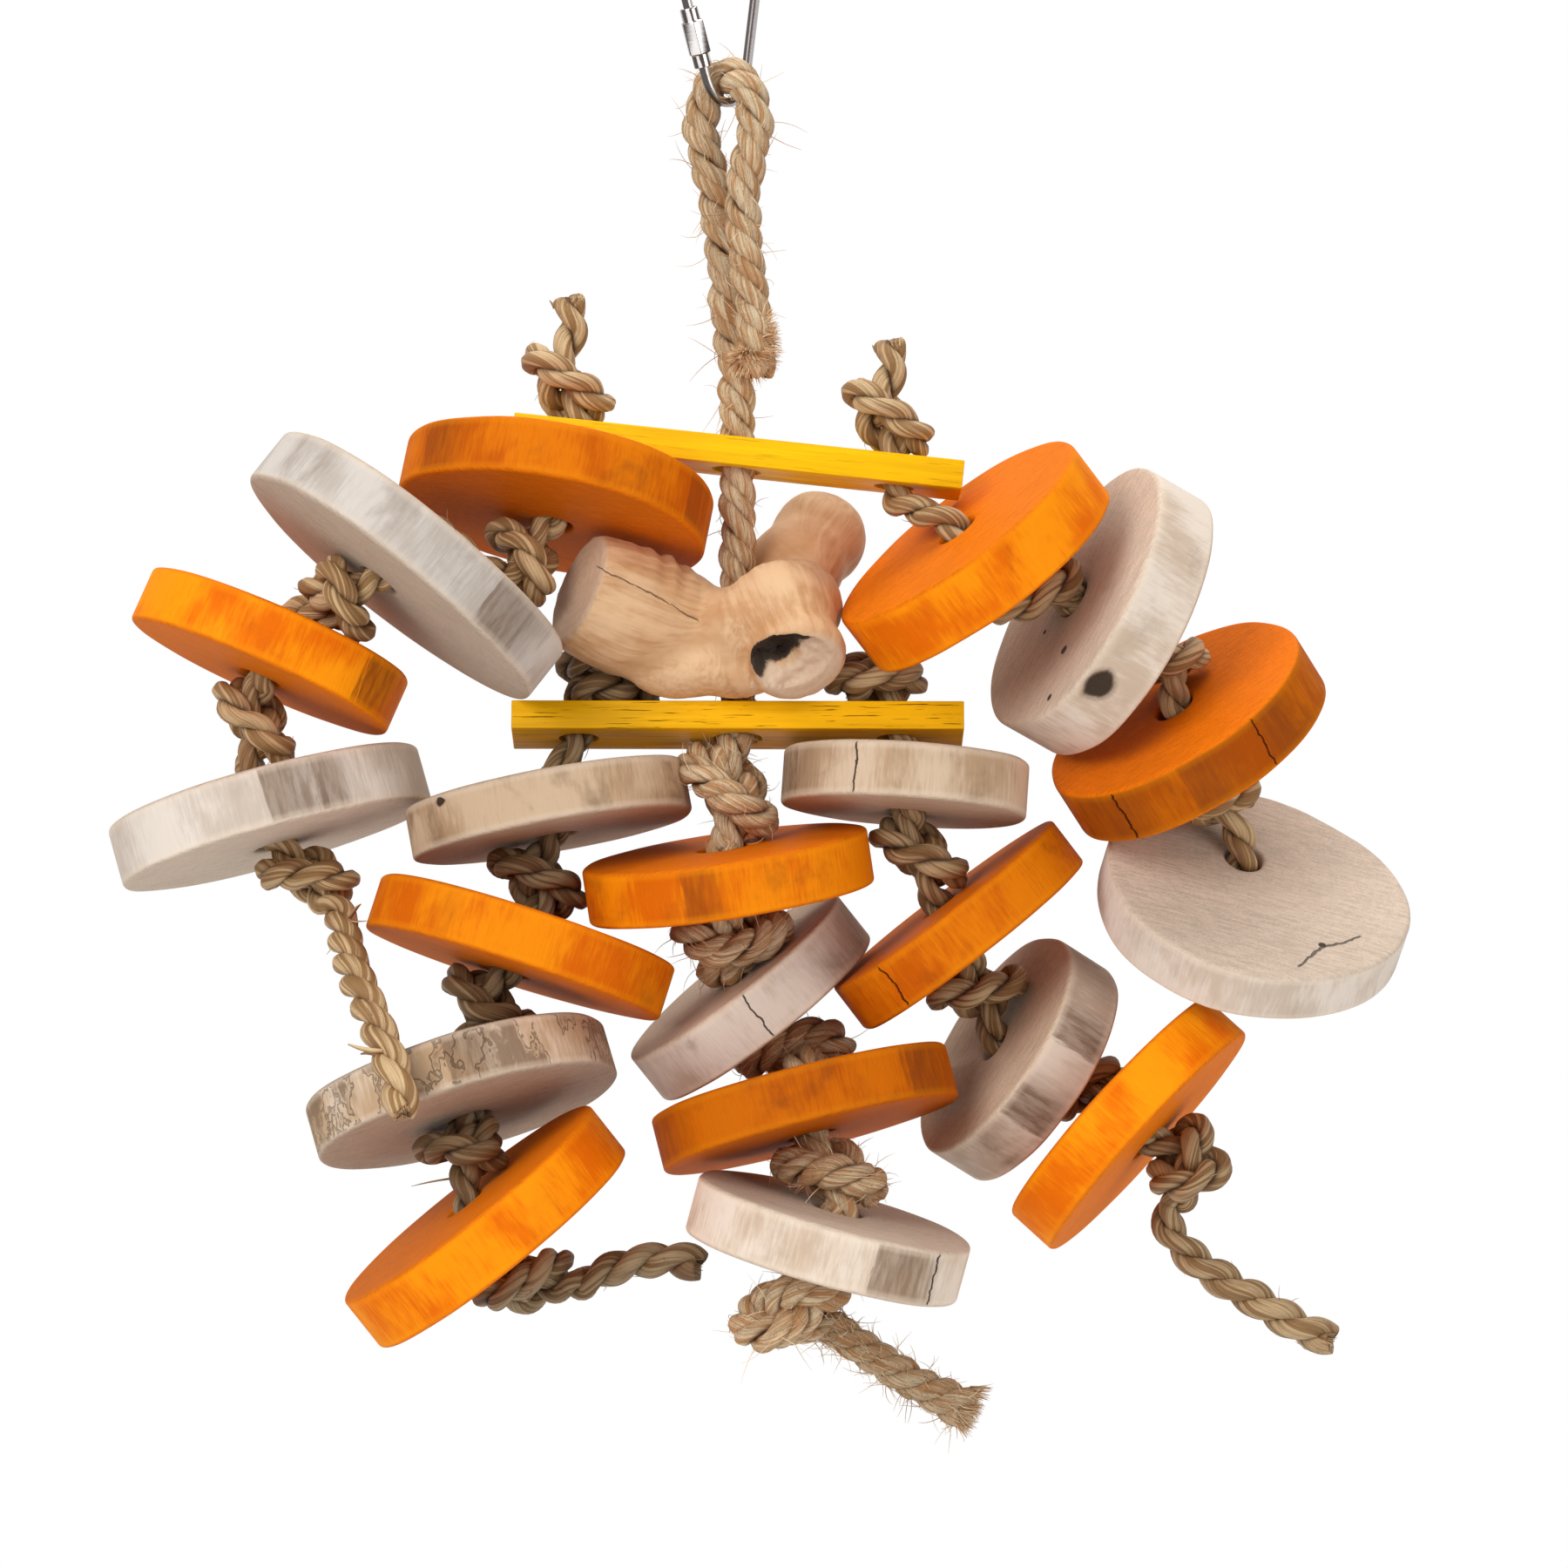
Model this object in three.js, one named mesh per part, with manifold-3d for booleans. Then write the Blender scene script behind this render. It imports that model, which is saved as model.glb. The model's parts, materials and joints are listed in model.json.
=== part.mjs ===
// A hanging wooden toy for a parrot, built the way it is threaded together: a steel link, a sisal rope
// with an eye over the link, two drilled slats and a drilled branch knuckle on that rope, four seagrass
// ropes hung from the slats' ends, and twenty slices of branch, each held up by a knot in its rope.
// Sizes are in millimetres. +Z is up, the front of the toy faces -Y, and the origin is the point inside
// the top of the link that hangs on a hook.

import * as THREE from 'three';
import { mergeVertices } from 'three/addons/utils/BufferGeometryUtils.js';
import loadManifold from 'manifold-3d';

const manifold = await loadManifold();
manifold.setup();

// Clearances: between pieces that touch, round a rope in its hole, and round the wire in its nut
const TOUCH_GAP = 0.3;
const HOLE_SLACK = 3.4;
const NUT_SLACK = 0.9;

// Ropes: the straight lead into a slice, the most degrees of lean in a slat's hole, the straight way out
// of that hole and the stub from the last knot to the free tail
const SISAL_DIAMETER = 10.6;
const SEAGRASS_DIAMETER = 8;
const ROPE_SIDES = 8;
const ROPE_STEP = 9;
const LEAD_LENGTH = 2;
const HOLE_LEAN = 10;
const HOLE_EXIT = 0.8;
const STUB_LENGTH = 3;

// Knots, in rope diameters: how wide, how high and how far beside the hole. A sisal knot is drawn tighter,
// and the double knot is taller. The profile gives shares of the knot's radius and height.
const KNOT_ACROSS = 2.7;
const KNOT_HEIGHT = 2.2;
const KNOT_SHIFT = 0.8;
const SISAL_KNOT = 0.8;
const DOUBLE_KNOT_TALL = 1.4;
const KNOT_SIDES = 8;
const KNOT_PROFILE = [[0, 0], [0.62, 0], [1, 0.24], [0.88, 0.5], [1, 0.74], [0.55, 1], [0, 1]];

// Slats
const SLAT_LENGTH = 130;
const SLAT_WIDTH = 24;
const SLAT_THICKNESS = 8.2;
const SLAT_HOLE_SPACING = 45.5;
const SLAT_EDGE = 0.7;

// Slices of branch and the holes drilled in wood
const SLICE_EDGE = 1.4;
const SLICE_SIDES = 26;
const HOLE_SIDES = 12;

// Link: LINK_HEIGHT is its clear height inside, and the gap in its leg is closed by the nut
const WIRE_DIAMETER = 3;
const WIRE_SIDES = 8;
const LINK_HEIGHT = 57;
const LINK_BOTTOM_RADIUS = 8.8;
const LINK_TOP_RADIUS = 18;
const LINK_TURN = 50;
const LINK_LEAN = 4;
const LINK_STEPS = 44;
const NUT_LENGTH = 17.5;
const NUT_ACROSS_FLATS = 6;
const NUT_COLLAR_DIAMETER = 5.2;
const NUT_HEX_LENGTH = 9.5;
const NUT_HEIGHT_ON_LEG = 12.6;
const LINK_GAP = 6.5;
const LINK_GAP_COVER = 4;

// All that hangs is measured from the inner bottom of the link, where the main rope's eye sits.
// MAIN_LINE is the plumb line that the main rope follows through the slats and the knuckle.
const MAIN_LINE = 3;
const UPPER_SLAT = { height: -103, slope: 6, roll: 6 };
const LOWER_SLAT = { height: -180, slope: 0, roll: 14 };

// The branch knuckle: a trunk with a flat sawn end, a side branch with a worn round end and a stub with
// a sawn end and a rotten hollow. It is measured from the plumb line on top of the lower slat. Each limb
// runs from its end to its foot in the core, with its radii on the way.
const CORE = { at: [0, 4, 20.4], radius: 17 };
const TRUNK = { end: [-45.5, -14, 34.7], foot: [-10, 0, 19.9], radii: [17.4, 18.8, 19, 18, 16.5] };
const BRANCH = { end: [27, 30, 54.4], foot: [0, 4, 20.4], radii: [6, 12, 14.3, 14.8, 13.6, 13.4, 14.4] };
const STUB = { end: [18.3, -24, 12.1], foot: [9.6, -4.3, 32.8], radii: [12.4, 14, 15.2, 16, 15] };
const LIMB_SIDES = 14;
const HOLLOW = { at: [12.6, -27.5, 15], size: [7, 6, 5] };

// Colours
const ORANGE = '#e8821c';
const NATURAL = '#d7c5ae';
const YELLOW = '#e6b400';
const BARE_WOOD = '#cdb492';
const SISAL_COLOUR = '#d9bb8c';
const SEAGRASS_COLOUR = '#95784f';
const STEEL = '#c4c6c8';

// The cut end of the main rope lies beside the standing part, goes up, over the link and down again.
const EYE_ROUTE = [
  [10.5, -4.6, -79], [9, -5.2, -65], [6.6, -5.2, -47], [4.6, -5.2, -33], [6, -5, -19],
  [7.8, -5, -8], [6.2, -3.6, 2.2], [0.4, 0, 6.7], [-5.6, 3.6, 2.4], [-7.6, 5, -8],
  [-5.4, 5, -19], [-2.6, 5, -33], [-1, 4.8, -47], [0.6, 4, -65], [2.4, 1.4, -79], [3, 0, -89],
];

// Each arm: the hole of the slat that it hangs from, the route of the cut end above the slat, the slices
// in the order that the rope meets them, and the route of the free tail below the last knot. Its places
// are measured from the middle of that hole.
// slope turns the rope's way through a slice from straight down towards +X, lean turns it to the front.
// at is the middle of the slice's hole, and below is how far the slice's own middle hangs below its hole.
const ARMS = [
  {
    name: 'upper_left', slat: UPPER_SLAT, side: -1,
    stub: [[-1.8, 1, 33.2], [-3.2, 0, 40.2]],
    slices: [
      { colour: ORANGE, across: 92, thick: 16.5, at: [-6.2, -3, -16.7], slope: -11, lean: 16.5, oval: 0.04 },
      {
        colour: NATURAL, across: 103, thick: 17, at: [-51, -26, -34.6], slope: -38, lean: 10.5, oval: 0.05,
        below: 3,
      },
      { colour: ORANGE, across: 82, thick: 16.5, at: [-88.2, -2, -60.8], slope: -23.5, lean: 8, oval: 0.03 },
      { colour: NATURAL, across: 95, thick: 17.5, at: [-90.8, 16, -108.3], slope: 16, lean: 7, oval: 0.05 },
    ],
    tail: [
      [-69.2, 4, -135.8], [-66.2, -10, -145.8], [-62.2, -24, -155.3], [-57.2, -36, -164.8],
      [-52.2, -45, -175.8], [-49.2, -50, -184.8], [-48.2, -52, -190.8],
    ],
  },
  {
    name: 'upper_right', slat: UPPER_SLAT, side: 1,
    stub: [[-0.2, 0, 30.8], [-1.8, 0, 37.3]],
    slices: [
      { colour: ORANGE, across: 85, thick: 18.5, at: [22.8, -11, -23.7], slope: 38, lean: -14.5, oval: 0.05 },
      { colour: NATURAL, across: 87, thick: 19.5, at: [59.2, 1, -40.2], slope: 61, lean: -19, oval: 0.04 },
      { colour: ORANGE, across: 84, thick: 17.5, at: [84.2, 2, -73.7], slope: 33.5, lean: -22, oval: 0.05 },
      {
        colour: NATURAL, across: 93, thick: 15.5, at: [99.2, 15, -116.2], slope: -15, lean: -37, oval: 0.06,
        below: 12,
      },
    ],
    tail: null,
  },
  {
    name: 'lower_left', slat: LOWER_SLAT, side: -1,
    stub: null, topKnotTall: 0.6,
    slices: [
      { colour: NATURAL, across: 84, thick: 15, at: [-8, 1.5, -24.5], slope: 10.5, lean: 7, oval: 0.04 },
      { colour: ORANGE, across: 91, thick: 16, at: [-17.5, -2.5, -63.5], slope: -17.5, lean: 7, oval: 0.05 },
      { colour: NATURAL, across: 92, thick: 16, at: [-33.5, 5.5, -105.5], slope: 17, lean: 14.5, oval: 0.05 },
      { colour: ORANGE, across: 92, thick: 17.5, at: [-27, -9, -143.5], slope: 38, lean: -6, oval: 0.04 },
    ],
    lastKnotLeans: [-17.5, -8, -156],
    tail: [[0.5, -9, -160], [9.5, -10, -155.5], [18.5, -12, -153], [29.5, -14, -152.5], [34.5, -14, -154]],
  },
  {
    name: 'lower_right', slat: LOWER_SLAT, side: 1,
    stub: null, topKnotTall: 0.7,
    slices: [
      { colour: NATURAL, across: 73, thick: 16, at: [3, -4, -17], slope: -4, lean: 7.5, oval: 0.04 },
      { colour: ORANGE, across: 82, thick: 15.5, at: [17.3, 4, -58], slope: 37.5, lean: -3, oval: 0.05 },
      { colour: NATURAL, across: 74, thick: 18, at: [35.5, 18, -96], slope: 57.5, lean: -19, oval: 0.04 },
      { colour: ORANGE, across: 86, thick: 16, at: [66.5, 3, -115], slope: 48, lean: 10, oval: 0.05 },
    ],
    lastKnotLeans: [75.5, 1, -120],
    tail: [
      [77.5, 4, -143], [84.5, 4, -152.5], [95.5, 4, -160.5],
      [106.5, 4, -167], [117.5, 4, -174], [125, 4, -176.5],
    ],
  },
];

const MAIN_ARM = {
  slat: LOWER_SLAT, side: 0,
  slices: [
    { colour: ORANGE, across: 84, thick: 16, at: [-3.3, -10, -43], slope: 8.5, lean: -6, oval: 0.04 },
    { colour: NATURAL, across: 79, thick: 16.5, at: [4, 20, -78], slope: 38.5, lean: -8, oval: 0.05 },
    { colour: ORANGE, across: 90, thick: 16, at: [18.8, -5, -109.9], slope: 14.5, lean: 8.5, oval: 0.04 },
    { colour: NATURAL, across: 83, thick: 16.5, at: [26.5, -17, -146], slope: -15, lean: -5, oval: 0.05 },
  ],
  lastKnotLeans: [-7, -15, -154],
  tail: [[26, -11, -171], [37, -10, -179], [48.5, -9, -186.5], [58, -8, -192], [65, -8, -195.5]],
};

const degrees = THREE.MathUtils.degToRad;
const vector = (xyz) => new THREE.Vector3(...xyz);

// Solids: closed meshes with shared corners, ready to be joined or cut

function solid(geometry) {
  const bare = geometry.clone();
  bare.deleteAttribute('normal');
  bare.deleteAttribute('uv');
  const merged = mergeVertices(bare, 1e-4);
  const corners = merged.index.array;
  const faces = [];
  for (let i = 0; i < corners.length; i += 3) {
    const [a, b, c] = corners.slice(i, i + 3);
    if (a !== b && b !== c && c !== a) faces.push(a, b, c);
  }
  return new manifold.Manifold(new manifold.Mesh({
    numProp: 3,
    vertProperties: new Float32Array(merged.attributes.position.array),
    triVerts: new Uint32Array(faces),
  }));
}

function join(solids) {
  return solids.reduce((whole, next) => whole.add(next));
}

function geometryOf(body) {
  const mesh = body.getMesh();
  const geometry = new THREE.BufferGeometry();
  geometry.setAttribute('position', new THREE.BufferAttribute(mesh.vertProperties, 3));
  geometry.setIndex(new THREE.BufferAttribute(mesh.triVerts, 1));
  geometry.computeVertexNormals();
  return geometry;
}

function polygon(diameter, sides) {
  const corner = (_, i) => {
    const angle = (i / sides) * Math.PI * 2;
    return new THREE.Vector2(Math.cos(angle), Math.sin(angle)).multiplyScalar(diameter / 2);
  };
  return new THREE.Shape(Array.from({ length: sides }, corner));
}

// A rod along any curve, with flat ends
function rod(curve, diameter, sides, steps) {
  const section = polygon(diameter, sides);
  return new THREE.ExtrudeGeometry(section, { extrudePath: curve, steps, bevelEnabled: false });
}

const upright = new THREE.Vector3(0, 1, 0);
const turnFromY = (direction) => new THREE.Quaternion().setFromUnitVectors(upright, direction);

// A straight round bar from one point to another
function bar(from, to, diameter, sides) {
  const along = to.clone().sub(from);
  const geometry = new THREE.CylinderGeometry(diameter / 2, diameter / 2, along.length(), sides);
  geometry.applyQuaternion(turnFromY(along.clone().normalize()));
  geometry.translate(...from.clone().add(to).multiplyScalar(0.5).toArray());
  return geometry;
}

// A turned form: pairs of radius and height, from the foot of the axis to its top, set along a direction
function turned(profile, foot, direction, sides) {
  const points = profile.map(([radius, height]) => new THREE.Vector2(radius, height));
  const geometry = new THREE.LatheGeometry(points, sides);
  geometry.applyQuaternion(turnFromY(direction));
  geometry.translate(...foot.toArray());
  return geometry;
}

function mesh(name, geometry, colour, roughness, metalness) {
  const material = new THREE.MeshStandardMaterial({ color: colour, roughness, metalness });
  const part = new THREE.Mesh(geometry, material);
  part.name = name;
  return part;
}

const woodMesh = (name, geometry, colour) => mesh(name, geometry, colour, 0.75, 0);
const ropeMesh = (name, geometry, colour) => mesh(name, geometry, colour, 0.9, 0);
const steelMesh = (name, geometry) => mesh(name, geometry, STEEL, 0.25, 1);

// The link: a pear of bent wire, open in one leg, and the nut that closes it

const wireRadius = WIRE_DIAMETER / 2;
const linkBottom = -LINK_HEIGHT - wireRadius + LINK_BOTTOM_RADIUS;
const linkTop = wireRadius - LINK_TOP_RADIUS;
const legAngle = Math.asin((LINK_TOP_RADIUS - LINK_BOTTOM_RADIUS) / (linkTop - linkBottom));
const legLength = (linkTop - linkBottom) * Math.cos(legAngle);

// A point on the nut's leg, measured up the leg from the end of the bottom bend
function legPoint(distance) {
  const outwards = new THREE.Vector3(-Math.cos(legAngle), 0, -Math.sin(legAngle));
  const foot = outwards.multiplyScalar(LINK_BOTTOM_RADIUS);
  foot.z += linkBottom;
  return foot.addScaledVector(legDirection(), distance);
}

function legDirection() {
  return new THREE.Vector3(-Math.sin(legAngle), 0, Math.cos(legAngle));
}

// The wire's centre line, from the lower end inside the nut, round the bottom, up and round the top
class LinkLine extends THREE.Curve {
  constructor(lowerEnd, upperEnd) {
    super();
    this.stretches = [
      { length: lowerEnd, at: (d) => legPoint(lowerEnd - d) },
      this.bend(linkBottom, LINK_BOTTOM_RADIUS, Math.PI + legAngle, Math.PI - 2 * legAngle),
      { length: legLength, at: (d) => this.mirrored(legPoint(d)) },
      this.bend(linkTop, LINK_TOP_RADIUS, -legAngle, Math.PI + 2 * legAngle),
      { length: legLength - upperEnd, at: (d) => legPoint(legLength - d) },
    ];
    this.whole = this.stretches.reduce((sum, stretch) => sum + stretch.length, 0);
  }

  mirrored(point) {
    return new THREE.Vector3(-point.x, point.y, point.z);
  }

  bend(height, radius, start, sweep) {
    const at = (d) => {
      const angle = start + d / radius;
      return new THREE.Vector3(Math.cos(angle) * radius, 0, height + Math.sin(angle) * radius);
    };
    return { length: sweep * radius, at };
  }

  getPoint(t, target = new THREE.Vector3()) {
    let distance = t * this.whole;
    let index = 0;
    while (index < this.stretches.length - 1 && distance > this.stretches[index].length) {
      distance -= this.stretches[index].length;
      index += 1;
    }
    return target.copy(this.stretches[index].at(distance));
  }
}

function buildLink() {
  const lowerEnd = NUT_HEIGHT_ON_LEG - NUT_LENGTH / 2 + LINK_GAP_COVER;
  const line = new LinkLine(lowerEnd, lowerEnd + LINK_GAP);
  const wire = rod(line, WIRE_DIAMETER, WIRE_SIDES, LINK_STEPS);

  const foot = legPoint(NUT_HEIGHT_ON_LEG - NUT_LENGTH / 2);
  const head = legPoint(NUT_HEIGHT_ON_LEG + NUT_LENGTH / 2);
  const hexFoot = legPoint(NUT_HEIGHT_ON_LEG - NUT_HEX_LENGTH / 2);
  const hexHead = legPoint(NUT_HEIGHT_ON_LEG + NUT_HEX_LENGTH / 2);
  const bore = WIRE_DIAMETER + NUT_SLACK;
  const past = legDirection().multiplyScalar(TOUCH_GAP);
  const collars = solid(bar(foot, head, NUT_COLLAR_DIAMETER, HOLE_SIDES));
  const hexagon = solid(bar(hexFoot, hexHead, NUT_ACROSS_FLATS / Math.cos(Math.PI / 6), 6));
  const hole = solid(bar(foot.clone().sub(past), head.clone().add(past), bore, HOLE_SIDES));
  const nut = collars.add(hexagon).subtract(hole);

  const link = new THREE.Group();
  link.rotation.order = 'YXZ';
  link.rotation.y = degrees(-LINK_LEAN);
  link.rotation.z = degrees(LINK_TURN);
  link.add(steelMesh('link_frame', wire), steelMesh('link_nut', geometryOf(nut)));
  return link;
}

// The lowest point inside the leaning link
function linkSeat() {
  const lean = degrees(LINK_LEAN);
  return new THREE.Vector3(Math.sin(lean), 0, -Math.cos(lean)).multiplyScalar(LINK_HEIGHT);
}

// Slats

const holeFor = (ropeDiameter) => ropeDiameter + HOLE_SLACK;

// A slat's own axes: along its length, front to back across its width, and up through its holes
function slatFrame({ height, slope, roll }) {
  const frame = new THREE.Object3D();
  frame.rotation.order = 'YXZ';
  frame.rotation.y = degrees(slope);
  frame.rotation.x = degrees(-roll);
  frame.position.set(MAIN_LINE, 0, height);
  frame.updateMatrixWorld();
  return frame;
}

function buildSlat(name, place) {
  const halfLength = SLAT_LENGTH / 2 - SLAT_EDGE;
  const halfWidth = SLAT_WIDTH / 2 - SLAT_EDGE;
  const plan = new THREE.Shape([
    new THREE.Vector2(-halfLength, -halfWidth), new THREE.Vector2(halfLength, -halfWidth),
    new THREE.Vector2(halfLength, halfWidth), new THREE.Vector2(-halfLength, halfWidth),
  ]);
  const board = new THREE.ExtrudeGeometry(plan, {
    depth: SLAT_THICKNESS - 2 * SLAT_EDGE, bevelThickness: SLAT_EDGE, bevelSize: SLAT_EDGE, bevelSegments: 1,
  });
  board.translate(0, 0, SLAT_EDGE - SLAT_THICKNESS / 2);
  const drill = (x, ropeDiameter) => {
    const top = new THREE.Vector3(x, 0, SLAT_THICKNESS);
    const below = new THREE.Vector3(x, 0, -SLAT_THICKNESS);
    return solid(bar(below, top, holeFor(ropeDiameter), HOLE_SIDES));
  };
  const wood = solid(board)
    .subtract(drill(-SLAT_HOLE_SPACING, SEAGRASS_DIAMETER))
    .subtract(drill(0, SISAL_DIAMETER))
    .subtract(drill(SLAT_HOLE_SPACING, SEAGRASS_DIAMETER));
  const slat = woodMesh(name, geometryOf(wood), YELLOW);
  const frame = slatFrame(place);
  slat.position.copy(frame.position);
  slat.quaternion.copy(frame.quaternion);
  return slat;
}

// The knuckle

function limb({ end, foot, radii }, sides) {
  const along = vector(foot).sub(vector(end));
  const step = along.length() / (radii.length - 1);
  const profile = radii.map((radius, i) => [radius, i * step]);
  profile.unshift([0, 0]);
  profile.push([0, along.length()]);
  return turned(profile, vector(end), along.normalize(), sides);
}

function buildKnuckle() {
  const core = new THREE.SphereGeometry(CORE.radius, LIMB_SIDES, LIMB_SIDES / 2);
  core.translate(...CORE.at);
  const limbs = [TRUNK, BRANCH, STUB].map((shape) => solid(limb(shape, LIMB_SIDES)));
  const hollow = new THREE.SphereGeometry(1, HOLE_SIDES, HOLE_SIDES / 2);
  hollow.scale(...HOLLOW.size);
  hollow.translate(...HOLLOW.at);
  const bottom = new THREE.Vector3();
  const top = new THREE.Vector3(0, 0, UPPER_SLAT.height - LOWER_SLAT.height);
  const bore = solid(bar(bottom, top, holeFor(SISAL_DIAMETER), HOLE_SIDES));
  const wood = join([solid(core), ...limbs]).subtract(solid(hollow)).subtract(bore);
  const knuckle = woodMesh('knuckle', geometryOf(wood), BARE_WOOD);
  knuckle.position.set(MAIN_LINE, 0, LOWER_SLAT.height + SLAT_THICKNESS / 2);
  return knuckle;
}

// Slices of branch

// The way that the rope goes through a slice
function sliceWay({ slope, lean }) {
  const turn = degrees(slope);
  const tip = degrees(lean);
  return new THREE.Vector3(Math.sin(turn) * Math.cos(tip), -Math.sin(tip), -Math.cos(turn) * Math.cos(tip));
}

function sliceFace(slice, side) {
  return vector(slice.at).addScaledVector(sliceWay(slice), (side * slice.thick) / 2);
}

// A slice's own axes: wide is square to the rope and level seen from the front, way runs along the rope
function sliceAxes(slice) {
  const turn = degrees(slice.slope);
  const wide = new THREE.Vector3(Math.cos(turn), 0, Math.sin(turn));
  const way = sliceWay(slice);
  return { wide, deep: way.clone().cross(wide), way };
}

// The direction in the slice's plane in which its heavier side hangs
function fallLine({ wide, deep, way }) {
  const down = new THREE.Vector3(0, 0, -1);
  const fall = down.addScaledVector(way, -down.dot(way)).normalize();
  return new THREE.Vector2(fall.dot(wide), fall.dot(deep));
}

// A slightly oval, slightly three-cornered outline
function sliceOutline({ across, oval }, turn) {
  const lobe = oval / 3;
  const corner = (_, i) => {
    const angle = (i / SLICE_SIDES) * Math.PI * 2;
    const round = 1 - oval * Math.sin(angle) ** 2;
    const reach = (across / 2) * (round + lobe * (Math.cos(3 * (angle - turn)) - 1));
    return new THREE.Vector2(Math.cos(angle), Math.sin(angle)).multiplyScalar(reach - SLICE_EDGE);
  };
  return new THREE.Shape(Array.from({ length: SLICE_SIDES }, corner));
}

function buildSlice(name, slice, turn, ropeDiameter) {
  const { thick, below = 0 } = slice;
  const block = new THREE.ExtrudeGeometry(sliceOutline(slice, turn), {
    depth: thick - 2 * SLICE_EDGE, bevelThickness: SLICE_EDGE, bevelSize: SLICE_EDGE, bevelSegments: 1,
  });
  const axes = sliceAxes(slice);
  const hang = fallLine(axes).multiplyScalar(below);
  block.translate(hang.x, hang.y, SLICE_EDGE - thick / 2);
  const above = new THREE.Vector3(0, 0, -thick);
  const drill = bar(above, above.clone().negate(), holeFor(ropeDiameter), HOLE_SIDES);
  const part = woodMesh(name, geometryOf(solid(block).subtract(solid(drill))), slice.colour);
  part.quaternion.setFromRotationMatrix(new THREE.Matrix4().makeBasis(axes.wide, axes.deep, axes.way));
  part.position.set(...slice.at);
  return part;
}

// Ropes and their knots

// A knot as the lump that it makes: two rounds of rope with a groove between them, on a flat seat
function knot(seat, way, diameter, scale = 1, tall = 1) {
  const radius = (KNOT_ACROSS / 2) * diameter * scale;
  const height = KNOT_HEIGHT * diameter * scale * tall;
  const profile = KNOT_PROFILE.map(([out, up]) => [out * radius, up * height]);
  const foot = seat.clone().addScaledVector(way, TOUCH_GAP);
  const lump = turned(profile, foot, way, KNOT_SIDES);
  return { middle: foot.clone().addScaledVector(way, height / 2), radius, body: solid(lump) };
}

// The seat of a knot under a slice lies a little towards where the rope goes next
function knotUnderSlice(slice, next, diameter, scale) {
  const way = sliceWay(slice);
  const hole = sliceFace(slice, 1);
  const aim = next.clone().sub(hole);
  const aside = aim.addScaledVector(way, -aim.dot(way));
  const shift = Math.min(aside.length(), KNOT_SHIFT * diameter);
  return knot(hole.clone().addScaledVector(aside.normalize(), shift), way, diameter, scale);
}

// The line of a rope over several curves in a row, with a ring of the rope exactly where two of them meet
class RopeLine extends THREE.Curve {
  constructor(curves) {
    super();
    this.rings = curves.flatMap((curve, i) => {
      const steps = curve.isLineCurve3 ? 1 : Math.max(2, Math.round(curve.getLength() / ROPE_STEP));
      const stations = Array.from({ length: steps + 1 }, (_, k) => k / steps).slice(i ? 1 : 0);
      return stations.map((t) => ({ point: curve.getPointAt(t), way: curve.getTangentAt(t) }));
    });
    this.steps = this.rings.length - 1;
  }

  getPointAt(t, target = new THREE.Vector3()) {
    return target.copy(this.rings[Math.round(t * this.steps)].point);
  }

  getTangentAt(t, target = new THREE.Vector3()) {
    return target.copy(this.rings[Math.round(t * this.steps)].way);
  }
}

function stretch(curves, diameter) {
  const line = new RopeLine(curves);
  return rod(line, diameter, ROPE_SIDES, line.steps);
}

// A smooth bend from a point to the mouth of a hole, which it meets square
function bend(from, leaving, mouth, way) {
  const reach = mouth.distanceTo(from) / 3;
  const first = from.clone().addScaledVector(leaving, reach);
  const second = mouth.clone().addScaledVector(way, -reach);
  return new THREE.CubicBezierCurve3(from, first, second, mouth);
}

// The rope from a knot, or from the slat's hole under it, through a slice and into the slice's own knot
function throughSlice(from, leaving, slice, diameter) {
  const way = sliceWay(slice);
  const mouth = sliceFace(slice, -1).addScaledVector(way, -LEAD_LENGTH);
  const inside = sliceFace(slice, 1).addScaledVector(way, (KNOT_HEIGHT * diameter) / 2);
  return [bend(from, leaving, mouth, way), new THREE.LineCurve3(mouth, inside)];
}

// Threads a rope through its slices, and returns its solids and its last knot
function thread(slices, lean, diameter, first, knotScale = 1) {
  const solids = [];
  let above = first;
  slices.forEach((slice, i) => {
    const mouth = sliceFace(slice, -1);
    const leaving = above.leaving ?? mouth.clone().sub(above.middle).normalize();
    const lead = above.lead ?? [];
    const curves = [...lead, ...throughSlice(above.exit ?? above.middle, leaving, slice, diameter)];
    const next = slices[i + 1] ? sliceFace(slices[i + 1], -1) : lean;
    const under = knotUnderSlice(slice, next, diameter, knotScale);
    solids.push(solid(stretch(curves, diameter)), under.body);
    above = under;
  });
  return { solids, last: above };
}

// The free tail starts at the flat end of a short stub of the rope
function tailStart(lastKnot, firstPoint) {
  const way = firstPoint.clone().sub(lastKnot.middle).normalize();
  const end = lastKnot.middle.clone().addScaledVector(way, lastKnot.radius + STUB_LENGTH);
  return { end, start: end.clone().addScaledVector(way, TOUCH_GAP), way };
}

function buildTail(name, route, begin, diameter, colour) {
  const straight = begin.start.clone().addScaledVector(begin.way, diameter / 2);
  const points = [begin.start, straight, ...route.map(vector)];
  const curve = new THREE.CatmullRomCurve3(points, false, 'centripetal');
  return ropeMesh(name, stretch([curve], diameter), colour);
}

// A direction turned towards a target, by a few degrees at most
function leaning(way, target, most) {
  const axis = way.clone().cross(target).normalize();
  const angle = Math.min(way.angleTo(target), degrees(most));
  return way.clone().applyAxisAngle(axis, angle);
}

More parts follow.
